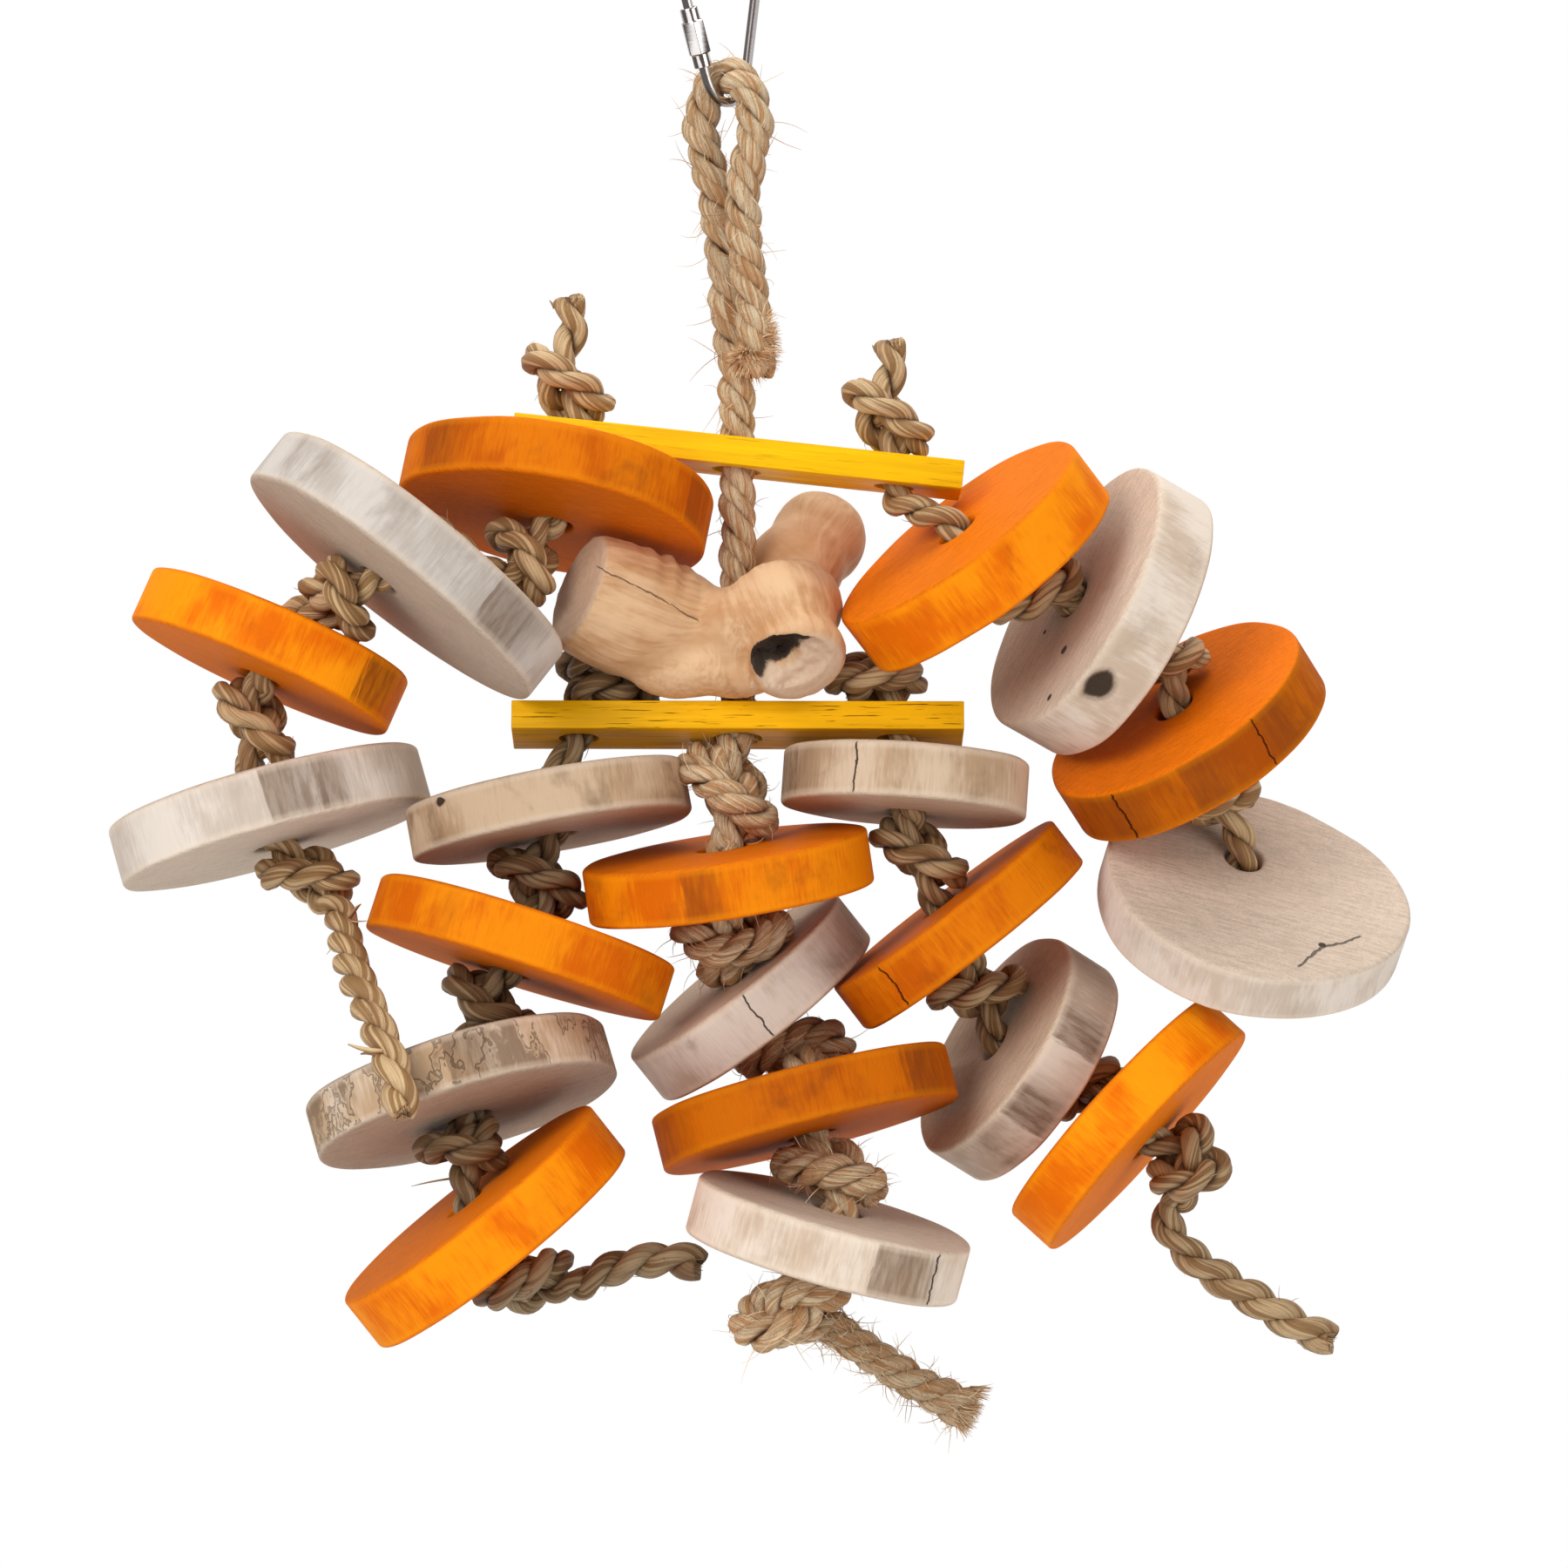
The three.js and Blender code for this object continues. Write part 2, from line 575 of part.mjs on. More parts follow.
// An arm with the middle of its hole, and with its places measured from the link's seat like the slats'
function placed(arm) {
  const hole = slatFrame(arm.slat).localToWorld(new THREE.Vector3(arm.side * SLAT_HOLE_SPACING, 0, 0));
  const moved = (xyz) => vector(xyz).add(hole).toArray();
  return {
    ...arm,
    hole,
    stub: arm.stub?.map(moved),
    slices: arm.slices.map((slice) => ({ ...slice, at: moved(slice.at) })),
    lastKnotLeans: arm.lastKnotLeans && moved(arm.lastKnotLeans),
    tail: arm.tail?.map(moved),
  };
}

// The knot on top of a slat and the rope through the slat's hole, leaning as far as the hole lets it
function hangFromSlat(arm, diameter) {
  const { hole } = arm;
  const down = new THREE.Vector3(0, 0, -1).applyQuaternion(slatFrame(arm.slat).quaternion);
  const face = hole.clone().addScaledVector(down, -SLAT_THICKNESS / 2);
  const top = knot(face, down.clone().negate(), diameter, 1, arm.topKnotTall ?? 1);
  const leaving = leaning(down, sliceFace(arm.slices[0], -1).sub(hole), HOLE_LEAN);
  const entry = hole.clone().addScaledVector(leaving, -SLAT_THICKNESS);
  const exit = hole.clone().addScaledVector(leaving, SLAT_THICKNESS / 2 + HOLE_EXIT);
  return { ...top, exit, leaving, lead: [new THREE.LineCurve3(entry, exit)] };
}

function buildArm(arm) {
  const diameter = SEAGRASS_DIAMETER;
  const top = hangFromSlat(arm, diameter);
  const lastSlice = arm.slices[arm.slices.length - 1];
  const lean = vector(arm.lastKnotLeans ?? arm.tail?.[0] ?? sliceFace(lastSlice, 1).toArray());
  const { solids, last } = thread(arm.slices, lean, diameter, top);
  solids.push(top.body);
  if (arm.stub) {
    const route = new THREE.CatmullRomCurve3([top.middle, ...arm.stub.map(vector)], false, 'centripetal');
    solids.push(solid(stretch([route], diameter)));
  }

  const disc = (slice, i) => buildSlice(`${arm.name}_disc_${i + 1}`, slice, i + arm.side, diameter);
  const parts = arm.slices.map(disc);
  if (arm.tail) {
    const begin = tailStart(last, vector(arm.tail[0]));
    solids.push(solid(bar(last.middle, begin.end, diameter, ROPE_SIDES)));
    parts.push(buildTail(`${arm.name}_rope_tail`, arm.tail, begin, diameter, SEAGRASS_COLOUR));
  }
  parts.push(ropeMesh(`${arm.name}_rope`, geometryOf(join(solids)), SEAGRASS_COLOUR));
  return parts;
}

function buildMainRope(arm) {
  const diameter = SISAL_DIAMETER;
  const down = new THREE.Vector3(0, 0, -1).applyQuaternion(slatFrame(arm.slat).quaternion);
  const underside = arm.hole.clone();
  underside.z -= SLAT_THICKNESS / 2 / -down.z;
  const doubleKnot = knot(underside, down, diameter, SISAL_KNOT, DOUBLE_KNOT_TALL);
  const lean = vector(arm.lastKnotLeans);
  const { solids, last } = thread(arm.slices, lean, diameter, doubleKnot, SISAL_KNOT);

  const eye = new THREE.CatmullRomCurve3(EYE_ROUTE.map(vector), false, 'centripetal');
  const insideKnot = underside.clone().setZ(doubleKnot.middle.z);
  const plumb = new THREE.LineCurve3(vector(EYE_ROUTE[EYE_ROUTE.length - 1]), insideKnot);
  const begin = tailStart(last, vector(arm.tail[0]));
  solids.push(
    doubleKnot.body,
    solid(stretch([eye, plumb], diameter)),
    solid(bar(last.middle, begin.end, diameter, ROPE_SIDES)),
  );
  return [
    ...arm.slices.map((slice, i) => buildSlice(`main_disc_${i + 1}`, slice, i, diameter)),
    buildTail('main_rope_tail', arm.tail, begin, diameter, SISAL_COLOUR),
    ropeMesh('main_rope', geometryOf(join(solids)), SISAL_COLOUR),
  ];
}

const hung = new THREE.Group();
hung.position.copy(linkSeat());
hung.add(
  buildSlat('upper_slat', UPPER_SLAT),
  buildSlat('lower_slat', LOWER_SLAT),
  buildKnuckle(),
  ...buildMainRope(placed(MAIN_ARM)),
  ...ARMS.map(placed).flatMap(buildArm),
);

const toy = new THREE.Group();
toy.add(buildLink(), hung);

export default toy;
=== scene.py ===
"""A hanging parrot toy: branch slices on knotted ropes, two dyed slats, a branch knuckle and a link."""

import contextlib
import functools
import json
import math
from typing import NamedTuple

import bpy
import numpy as np
from bpy.props import FloatProperty, FloatVectorProperty, IntProperty, PointerProperty
from mathutils import Matrix, Vector, noise


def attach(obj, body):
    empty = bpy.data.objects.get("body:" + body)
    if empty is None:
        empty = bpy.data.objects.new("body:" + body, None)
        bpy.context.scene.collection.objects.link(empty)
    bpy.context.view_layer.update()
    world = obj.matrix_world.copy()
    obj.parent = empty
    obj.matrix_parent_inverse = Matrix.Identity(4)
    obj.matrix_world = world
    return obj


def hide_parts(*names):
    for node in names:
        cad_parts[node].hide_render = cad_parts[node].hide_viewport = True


bl_info = {
    "name": "Wooden parrot toy",
    "version": (1, 0, 0),
    "blender": (4, 5, 0),
    "location": "3D View > Sidebar > Parrot Toy",
    "description": "Dresses the packed frame of a hanging toy of branch slices, ropes and slats",
    "category": "Add Mesh",
}

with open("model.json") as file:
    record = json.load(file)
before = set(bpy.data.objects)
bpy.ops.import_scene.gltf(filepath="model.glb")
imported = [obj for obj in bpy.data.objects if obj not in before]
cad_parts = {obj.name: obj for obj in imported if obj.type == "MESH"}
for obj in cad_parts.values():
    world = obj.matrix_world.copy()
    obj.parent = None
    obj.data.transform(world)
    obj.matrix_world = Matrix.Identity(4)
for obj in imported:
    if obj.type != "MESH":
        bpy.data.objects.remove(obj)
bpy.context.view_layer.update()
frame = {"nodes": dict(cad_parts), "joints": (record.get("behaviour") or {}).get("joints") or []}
JOINTS = {joint["name"]: joint for joint in frame["joints"]}
MM = 0.001
FULL_TURN = 2 * math.pi


class Arm(NamedTuple):
    """An arm's rope: how its knots turn, where the last one leans, its tail, its cut end and its shade."""

    knot_turns: list
    last_knot_lean: tuple = None
    tail: list = None
    cut_end: list = None
    shade: float = 1.0


# Routes of the ropes in millimetres, measured from the inner bottom of the link
LINK_SEAT = np.array([3.976, 0.0, -56.861])
EYE_ROUTE = [
    (8.4, -5.8, -79), (7.6, -5.8, -65), (5.8, -5.4, -47), (4.2, -5.2, -33), (6, -5, -19),
    (7.8, -5, -8), (6.2, -3.6, 2.2), (0.4, 0, 6.7), (-5.6, 3.6, 2.4), (-7.6, 5, -8),
    (-5.4, 5, -19), (-2.6, 5, -33), (-1, 4.8, -47), (0.6, 4, -65), (2.4, 1.4, -79), (3, 0, -89),
]
ARMS = {
    "main": Arm(
        knot_turns=[0.3, -0.4, 0.2, 2.9],
        last_knot_lean=(-4, -15, -334),
        tail=[(29, -11, -351), (40, -10, -359), (51.5, -9, -366.5), (61, -8, -372), (68, -8, -375.5)],
    ),
    "upper_left": Arm(
        knot_turns=[0.5, -0.3, 0.2, 0.4],
        last_knot_lean=(-111.5, 4, -234),
        tail=[
            (-111.5, 4, -234), (-108.5, -10, -244), (-104.5, -24, -253.5), (-99.5, -36, -263),
            (-94.5, -45, -274), (-91.5, -50, -283), (-90.5, -52, -289),
        ],
        cut_end=[(-45.5, 0, -58), (-44, 1, -65)],
        shade=0.84,
    ),
    "upper_right": Arm(
        knot_turns=[0.1, 0.4, -0.5, 0.0],
        cut_end=[(46.5, 0, -70.5), (48, 0, -77)],
        shade=0.78,
    ),
    "lower_left": Arm(
        knot_turns=[-0.2, 0.3, 0.1, -0.3],
        last_knot_lean=(-60, -8, -336),
        tail=[(-42, -9, -340), (-33, -10, -335.5), (-24, -12, -333), (-13, -14, -332.5), (-8, -14, -334)],
        cut_end=[(-33, 4, -171.5), (-36, 3, -171)],
        shade=0.42,
    ),
    "lower_right": Arm(
        knot_turns=[0.2, -0.2, 0.5, 1.8],
        last_knot_lean=(124, 1, -300),
        tail=[
            (126, 4, -323), (133, 4, -332.5), (144, 4, -340.5), (155, 4, -347), (166, 4, -354),
            (173.5, 4, -356.5),
        ],
        cut_end=[(34.5, -3, -170.5), (39.5, -2, -168)],
        shade=0.62,
    ),
}
SIDE_ARMS = [arm for arm in ARMS if arm != "main"]
SLICES_ON_ARM = 4
# Brushes of cut fibres where the main rope ends beside itself: place, way, radius
CUT_BRUSHES = [
    ((5.6, -10.5, -76), (-0.1, -0.8, -0.6), 3.4),
    ((10.4, -8.5, -76), (0.8, -0.3, -0.5), 3.0),
    ((11.2, -7.0, -71), (1.0, -0.2, -0.1), 2.8),
    ((10.8, -6.0, -66.5), (1.0, -0.1, 0.1), 2.2),
]
# Leaves that stand out of the seagrass: rope, root, way, length, width
LOOSE_LEAVES = [
    ("upper_left", (-105, -7, -229), (0.5, -0.4, 0.8), 7, 2.6),
    ("upper_left", (-104, -8, -231), (0.9, -0.3, -0.1), 6, 2.2),
    ("upper_left", (-96, -47, -272), (-0.95, -0.15, 0.1), 10, 3.6),
    ("upper_left", (-96, -46, -273), (-0.9, 0.1, 0.35), 7, 2.4),
    ("lower_left", (-84, -9, -311), (-1.0, -0.1, -0.15), 11, 1.5),
    ("upper_left", (-47, 0, -60), (-0.6, -0.2, 0.6), 3, 2.0),
]

# The knot solids that the tails start beside. Widths, heights and shifts are in rope diameters.
KNOT_ACROSS = 2.7
KNOT_HEIGHT = 2.2
KNOT_SHIFT = 0.8
KNOT_STUB = 3.3
BELOW_KNOT = 0.9
SOLID_DIAMETERS = {"main": 10.6, "arm": 8.0}
SOLID_KNOT_SCALES = {"main": 0.8, "arm": 1.0}

# How ropes and knots are drawn
LINE_STEP = 0.9
EASING_ROUNDS = 6
KNOT_SPACING = 0.28
KNOT_SQUEEZE = 0.88
KNOT_HALF_HEIGHT = 0.8
KNOT_TILT = 0.45
KNOT_CORE = 0.45
KNOT_ROUNDS = 60
KNOT_PULL = 0.1
KNOT_ROOM = 0.4
LEAST_SHIFT = 0.1
NEIGHBOUR_RUN = 1.55
PUSH_SHARE = 0.33
# The knots on and under the slats: how they turn, how tall they are, and how far slats keep ropes off
STOP_KNOT_TURN = 0.3
STOP_KNOT_ROOM = 0.8
FLAT_KNOT = 0.62
DOUBLE_KNOT = 1.35
DOUBLE_KNOT_TURN = 0.4
SLAT_REACH = 30
# Over how long a run the strands become even before a tail, and what is left of their unevenness in it
EVENING_RUN = 20
TAIL_UNEVENNESS = 0.3
# Loose fibres
HAIR_SIDES = 3
HAIR_JOINTS = 5
HAIR_TONES = 90
HAIR_WIDTH = 0.28
HAIR_THICKNESS = 0.24
BRUSH_THICKNESS = 0.3
BRUSH_ROOT = 1.5
# How far out loose fibres count for the painted crease shade: far enough out to get none
LOOSE_CREASE_SHADE = 0.88


def dye(red, green, blue):
    """A colour read off a picture, 0 to 255, as the linear colour that the shaders use."""
    shares = [value / 255 for value in (red, green, blue)]
    return tuple(s / 12.92 if s <= 0.04045 else ((s + 0.055) / 1.055) ** 2.4 for s in shares)


def colour_setting(name, description, *colour):
    """A colour that a user can change. Its default is read off a picture, 0 to 255."""
    return FloatVectorProperty(
        name=name, description=description, default=dye(*colour), size=3, min=0, max=1, subtype="COLOR",
    )


def length_setting(name, description, millimetres):
    """A length that a user can change."""
    return FloatProperty(name=name, description=description, default=millimetres * MM, min=0, unit="LENGTH")


def power_setting(name, description, watts):
    """A lamp's power that a user can change."""
    return FloatProperty(name=name, description=description, default=watts, min=0, unit="POWER")


def count_setting(name, description, count):
    """A number of like things that a user can change."""
    return IntProperty(name=name, description=description, default=count, min=0)


class RopeSettings(bpy.types.PropertyGroup):
    """Sizes and colours of the sisal and seagrass ropes."""

    sisal_diameter: length_setting("Sisal diameter", "Width over the strands of the main rope", 10.1)
    sisal_lay: length_setting("Sisal lay", "Length of one full turn of a sisal strand", 20)
    sisal_hairs: count_setting("Sisal hairs", "Stray fibres on the main rope", 1300)
    seagrass_diameter: length_setting("Seagrass diameter", "Width over the strands of the arm ropes", 9.0)
    seagrass_lay: length_setting("Seagrass lay", "Length of one full turn of a seagrass strand", 21)
    seagrass_hairs: count_setting("Seagrass hairs", "Stray fibres on an arm rope", 36)
    sisal_pale: colour_setting("Pale sisal", "Bleached fibres of the main rope", 255, 233, 194)
    sisal_gold: colour_setting("Golden sisal", "Darker fibres of the main rope", 208, 150, 96)
    # Deep sisal is both the colour of the darkest fibres and the painted shade in the creases
    sisal_dark_and_crease_shade: colour_setting("Deep sisal", "Shaded creases between the sisal strands", 116, 70, 40)
    seagrass_straw: colour_setting("Straw leaf", "Dry pale leaves of the seagrass", 242, 206, 156)
    seagrass_olive: colour_setting("Olive leaf", "Green-brown leaves of the seagrass", 178, 135, 86)
    seagrass_russet: colour_setting("Russet leaf", "Red-brown leaves of the seagrass", 160, 106, 68)


class WoodSettings(bpy.types.PropertyGroup):
    """Colours of the dyed and bare wood, and the rounding of its edges."""

    slice_edge: length_setting("Slice edge", "Rounding of the edges of a branch slice", 1.3)
    slat_edge: length_setting("Slat edge", "Rounding of the edges of a slat", 0.9)
    orange: colour_setting("Orange dye", "Rim of a dyed slice", 255, 152, 10)
    orange_deep: colour_setting("Deep orange", "Streaks on the rim of a dyed slice", 234, 110, 2)
    orange_dark: colour_setting("Dark orange", "Streaks on the deepest dyed rims", 176, 74, 6)
    orange_brown: colour_setting("Orange brown", "Blotches of old bark on the dyed rim", 140, 66, 14)
    orange_face: colour_setting("Orange face", "Sawn face of a dyed slice", 236, 122, 8)
    natural: colour_setting("Natural rim", "Rim of a bare slice", 240, 220, 198)
    natural_grey: colour_setting("Grey rim", "Rim of a weathered bare slice", 224, 216, 208)
    natural_deep: colour_setting("Natural streak", "Streaks on the rim of a bare slice", 208, 172, 132)
    natural_dark: colour_setting("Dark streak", "Streaks on the deepest bare rims", 158, 128, 102)
    natural_brown: colour_setting("Natural stain", "Stains on the rim of a bare slice", 112, 86, 64)
    natural_face: colour_setting("Natural face", "Sawn face of a bare slice", 216, 197, 178)
    yellow: colour_setting("Yellow dye", "Upper slat", 255, 198, 0)
    mustard: colour_setting("Mustard dye", "Lower slat", 244, 180, 0)
    slat_pore: colour_setting("Slat pores", "Open pores of the slats", 92, 62, 2)
    bare: colour_setting("Bare wood", "Sanded knuckle", 218, 180, 140)
    bare_deep: colour_setting("Bare wood grain", "Grain of the knuckle", 190, 142, 98)
    bare_end: colour_setting("Sawn branch end", "Cut ends of the knuckle", 230, 214, 194)
    bare_rot: colour_setting("Rotten wood", "Hollow and cracks of the knuckle", 44, 34, 28)


class StageSettings(bpy.types.PropertyGroup):
    """Camera, lamps and floor."""

    camera_distance: length_setting("Camera distance", "From the lens to the toy's plane", 2000)
    camera_height: length_setting("Camera drop", "Height of the lens below the link's inner top", 253.75)
    camera_side: length_setting("Camera side", "Place of the lens to the right of the link", 20.25)
    view_width: length_setting("View width", "Width of the picture at the toy", 450)
    floor_drop: length_setting("Floor drop", "Depth of the floor below the link's inner top", 620)
    floor_size: length_setting("Floor size", "Width of the square floor", 1800)
    key_power: power_setting("Key lamp", "Upper left lamp", 32)
    fill_power: power_setting("Fill lamp", "Right lamp", 11)
    top_power: power_setting("Top lamp", "Overhead lamp", 20)
    sky: FloatProperty(name="Sky", description="Soft light from all round", default=0.34, min=0)


def unit(vector):
    """A vector with length one."""
    return np.asarray(vector, float) / np.linalg.norm(vector)


def unit_rows(vectors):
    """Vectors with length one."""
    return vectors / np.linalg.norm(vectors, axis=1)[:, None]


def hung(points):
    """Points of a rope's route in the toy's own frame, in millimetres."""
    return np.asarray(points, float) + LINK_SEAT


def joint_place(name):
    """The middle of a joint in millimetres."""
    return np.array(JOINTS[name]["pos_m"]) / MM


def step_lengths(points):
    """Length of each step of a line of points."""
    return np.linalg.norm(np.diff(points, axis=0), axis=1)


def line_length(points):
    """Length of a line of points."""
    return step_lengths(points).sum()


def evenly(points, count):
    """The same line with its points spread evenly."""
    along = np.concatenate([[0.0], np.cumsum(step_lengths(points))])
    places = np.linspace(0, along[-1], count)
    return np.stack([np.interp(places, along, points[:, k]) for k in range(3)], axis=1)


def blend(t, low, high, first, second):
    """The first value at low, the second at high and an even mix between them."""
    return (high - t) / (high - low) * first + (t - low) / (high - low) * second


def smooth_line(points, per_span=24):
    """A smooth curve through given points, which never loops where they are close."""
    points = np.asarray(points, float)
    padded = np.vstack([2 * points[0] - points[1], points, 2 * points[-1] - points[-2]])
    knots = np.concatenate([[0.0], np.cumsum(step_lengths(padded) ** 0.5)])
    spans = []
    for i in range(len(points) - 1):
        t0, t1, t2, t3 = knots[i:i + 4]
        a, b, c, d = padded[i:i + 4]
        t = np.linspace(t1, t2, per_span + 1)[:, None]
        bc = blend(t, t1, t2, b, c)
        first = blend(t, t0, t2, blend(t, t0, t1, a, b), bc)
        second = blend(t, t1, t3, bc, blend(t, t2, t3, c, d))
        span = blend(t, t1, t2, first, second)
        spans.append(span if i == 0 else span[1:])
    return np.vstack(spans)


def bend(start, leaving, end, arriving, count=24):
    """A smooth bend between two points with given ways."""
    reach = np.linalg.norm(end - start) / 3
    first = start + leaving * reach
    second = end - arriving * reach
    t = np.linspace(0, 1, count)[:, None]
    s = 1 - t
    return s ** 3 * start + 3 * s ** 2 * t * first + 3 * s * t ** 2 * second + t ** 3 * end


class Hole:
    """A drilled hole: its middle, the way the rope takes through it, its depth and how wide the wood is."""

    def __init__(self, middle, way, depth, reach):
        self.middle = np.asarray(middle, float)
        self.way = unit(way)
        self.depth = depth
        self.reach = reach
        self.mouth = self.middle - self.way * depth / 2
        self.exit = self.middle + self.way * depth / 2

    @property
    def wide(self):
        """Across the hole, level in the picture."""
        return unit((-self.way[2], 0.0, self.way[0]))

    def run(self):
        """The straight run of a rope through the hole."""
        return np.stack([self.mouth, self.middle, self.exit])

    def sideways(self, vectors):
        """The part of vectors that is square to the hole."""
        return vectors - (vectors @ self.way)[..., None] * self.way


class Slat:
    """The middle of a slat's solid, its axes along it, across it and up, and its thickness."""

    def __init__(self, name):
        corners = node_points(name)
        _, _, axes = np.linalg.svd(corners - corners.mean(axis=0), full_matrices=False)
        self.middle = (corners.max(axis=0) + corners.min(axis=0)) / 2
        self.along = axes[0] * np.sign(axes[0][0])
        self.up = axes[2] * np.sign(axes[2][2])
        self.across = np.cross(self.up, self.along)
        self.thickness = np.ptp(corners @ self.up)


def point_vectors(mesh, name):
    """A vector that each point of a mesh has, such as its place or its normal."""
    vectors = np.empty(len(mesh.vertices) * 3)
    mesh.vertices.foreach_get(name, vectors)
    return vectors.reshape(-1, 3)


def mesh_points(mesh):
    """Points of a mesh in millimetres."""
    return point_vectors(mesh, "co") / MM


def node_points(name):
    """Corners of a CAD node in millimetres."""
    return mesh_points(frame["nodes"][name].data)


def slice_hole(name):
    """The hole of a branch slice, from the joint that it spins on."""
    middle = joint_place(f"{name}_spin")
    axis = unit(JOINTS[f"{name}_spin"]["axis"])
    way = axis if axis[2] < 0 else -axis
    corners = node_points(name) - middle
    along = corners @ way
    across = np.linalg.norm(corners - along[:, None] * way, axis=1)
    return Hole(middle, way, np.ptp(along), across.max())


def slat_hole(arm):
    """The hole at the end of a slat that an arm's rope hangs from."""
    slat = Slat(f"{arm.split('_')[0]}_slat")
    return Hole(joint_place(f"{arm}_rope_swing"), -slat.up, slat.thickness, slat.thickness)


def push_apart(points, thickness, skip):
    """How far each point of a rope has to move so that the rope doesn't lie in itself."""
    gaps = points[:, None] - points[None]
    far = np.linalg.norm(gaps, axis=2) + 1e-9
    index = np.arange(len(points))
    press = np.clip(thickness - far, 0, None)
    press[np.abs(index[:, None] - index[None]) <= skip] = 0
    return (gaps / far[:, :, None] * press[:, :, None]).sum(axis=1)


def keep_off(points, hole, side, clearance, core):
    """Points of a rope moved out of the wood round a hole, except those that run through it."""
    face = hole.exit if side > 0 else hole.mouth
    height = (points - face) @ hole.way * side
    across = np.linalg.norm(hole.sideways(points - hole.middle), axis=1)
    inside = (height < clearance) & (across > core) & (across < hole.reach) & (height > -hole.depth)
    lift = np.where(inside, clearance - height, 0.0)
    return points + lift[:, None] * hole.way * side


def tighten(points, thickness, rounds, pull, confine=None):
    """A rope pulled tight round itself, with its two ends held, and kept where confine lets it be."""
    points = points.copy()
    for step in range(rounds):
        spacing = line_length(points) / (len(points) - 1)
        skip = math.ceil(NEIGHBOUR_RUN * thickness / spacing)
        middles = (points[1:-3] + points[3:-1]) / 2
        moved = points.copy()
        moved[2:-2] += pull * (middles - points[2:-2])
        moved[2:-2] += PUSH_SHARE * push_apart(moved, thickness, skip)[2:-2]
        if confine is not None:
            moved[2:-2] = confine(moved)[2:-2]
        points = moved
        if step % 5 == 4:
            points[1:-1] = evenly(points[1:-1], len(points) - 2)
    return points


@functools.cache
def overhand_knot():
    """An overhand knot in a rope one unit thick, pulled tight and pressed flat, running up Z."""
    t = np.linspace(-2.17, 2.17, 400)
    loose = np.stack([t ** 3 - 3 * t, 0.55 * (t ** 4 - 4 * t ** 2), 0.3 * (t ** 5 - 10 * t)], axis=1)
    tight = tighten(evenly(loose, 110), 1.0, rounds=420, pull=0.5)
    off_middle = np.abs(np.arange(len(tight)) - (len(tight) - 1) / 2)
    core = off_middle < 26
    inner = off_middle < 21
    ends = tight[core][[0, -1]]
    axis = unit(ends[1] - ends[0])
    wide = unit(np.array([1.0, 0, 0]) - axis[0] * axis)
    upright = (tight - ends.mean(axis=0)) @ np.stack([wide, np.cross(axis, wide), axis]).T

    def press(points):
        over = points[:, 2] - np.clip(points[:, 2], -KNOT_HALF_HEIGHT, KNOT_HALF_HEIGHT)
        return points - 0.3 * (over * inner)[:, None] * np.array([0, 0, 1.0])

    return tighten(upright, 1.0, 260, KNOT_PULL, press)[core]


def step_aside(hole, aim, diameter):
    """How far a knot under a hole lies to the side that its rope goes on to."""
    aside = hole.sideways(aim)
    far = np.linalg.norm(aside)
    if far <= LEAST_SHIFT:
        return np.zeros(3)
    return unit(aside) * min(far, KNOT_SHIFT * diameter)


def tie(hole, target, arriving, diameter, turn, tall=1.0, following=None, lean=None, room=KNOT_ROOM):
    """The rope from a hole's exit through an overhand knot against the wood to a target."""
    thickness = diameter * KNOT_SQUEEZE
    aim = (target if lean is None else lean) - hole.exit
    middle = hole.exit + hole.way * (KNOT_HALF_HEIGHT * thickness * tall + diameter / 2)
    middle = middle + step_aside(hole, aim, diameter)
    axis = unit(hole.way + KNOT_TILT * unit(target - middle))
    wide = unit(hole.wide - (hole.wide @ axis) * axis)
    wide = math.cos(turn) * wide + math.sin(turn) * np.cross(axis, wide)
    deep = np.cross(axis, wide)
    shape = overhand_knot() * thickness
    knot = middle + shape[:, :1] * wide + shape[:, 1:2] * deep + shape[:, 2:] * axis * tall
    lead_in = bend(hole.exit, hole.way, knot[0], unit(knot[1] - knot[0]), 8)
    lead_out = bend(knot[-1], unit(knot[-1] - knot[-2]), target, arriving, 16)
    line = np.vstack([lead_in[:-1], knot, lead_out[1:]])
    line = evenly(line, int(line_length(line) / (KNOT_SPACING * thickness)))
    walls = [(hole, 1)] if following is None else [(hole, 1), (following, -1)]

    def off_wood(points):
        for wood, side in walls:
            points = keep_off(points, wood, side, diameter / 2 + room, KNOT_CORE * thickness)
        return points

    return tighten(line, thickness, KNOT_ROUNDS, KNOT_PULL, off_wood)


def join_lines(lines):
    """Lines end to end as one line with even steps, its corners eased."""
    line = np.vstack([lines[0]] + [part[1:] for part in lines[1:]])
    line = evenly(line, int(line_length(line) / LINE_STEP))
    for _ in range(EASING_ROUNDS):
        line[1:-1] += 0.25 * (line[:-2] + line[2:] - 2 * line[1:-1])
    return line


def solid_sizes(arm):
    """The diameter of an arm's rope solid, and how large its knot solids are."""
    kind = "main" if arm == "main" else "arm"
    return SOLID_DIAMETERS[kind], SOLID_KNOT_SCALES[kind]


def tail_begin(arm):
    """Where an arm's rope leaves its last knot, and the way it takes."""
    size, scale = solid_sizes(arm)
    last = slice_hole(f"{arm}_disc_{SLICES_ON_ARM}")
    if ARMS[arm].tail is None:
        return last.exit + last.way * (KNOT_HEIGHT + BELOW_KNOT) * size, last.way
    aside = step_aside(last, hung(ARMS[arm].last_knot_lean) - last.exit, size)
    middle = last.exit + aside + last.way * KNOT_HEIGHT * size * scale / 2
    way = unit(hung(ARMS[arm].tail[0]) - middle)
    return middle + way * (KNOT_ACROSS / 2 * size * scale + KNOT_STUB), way


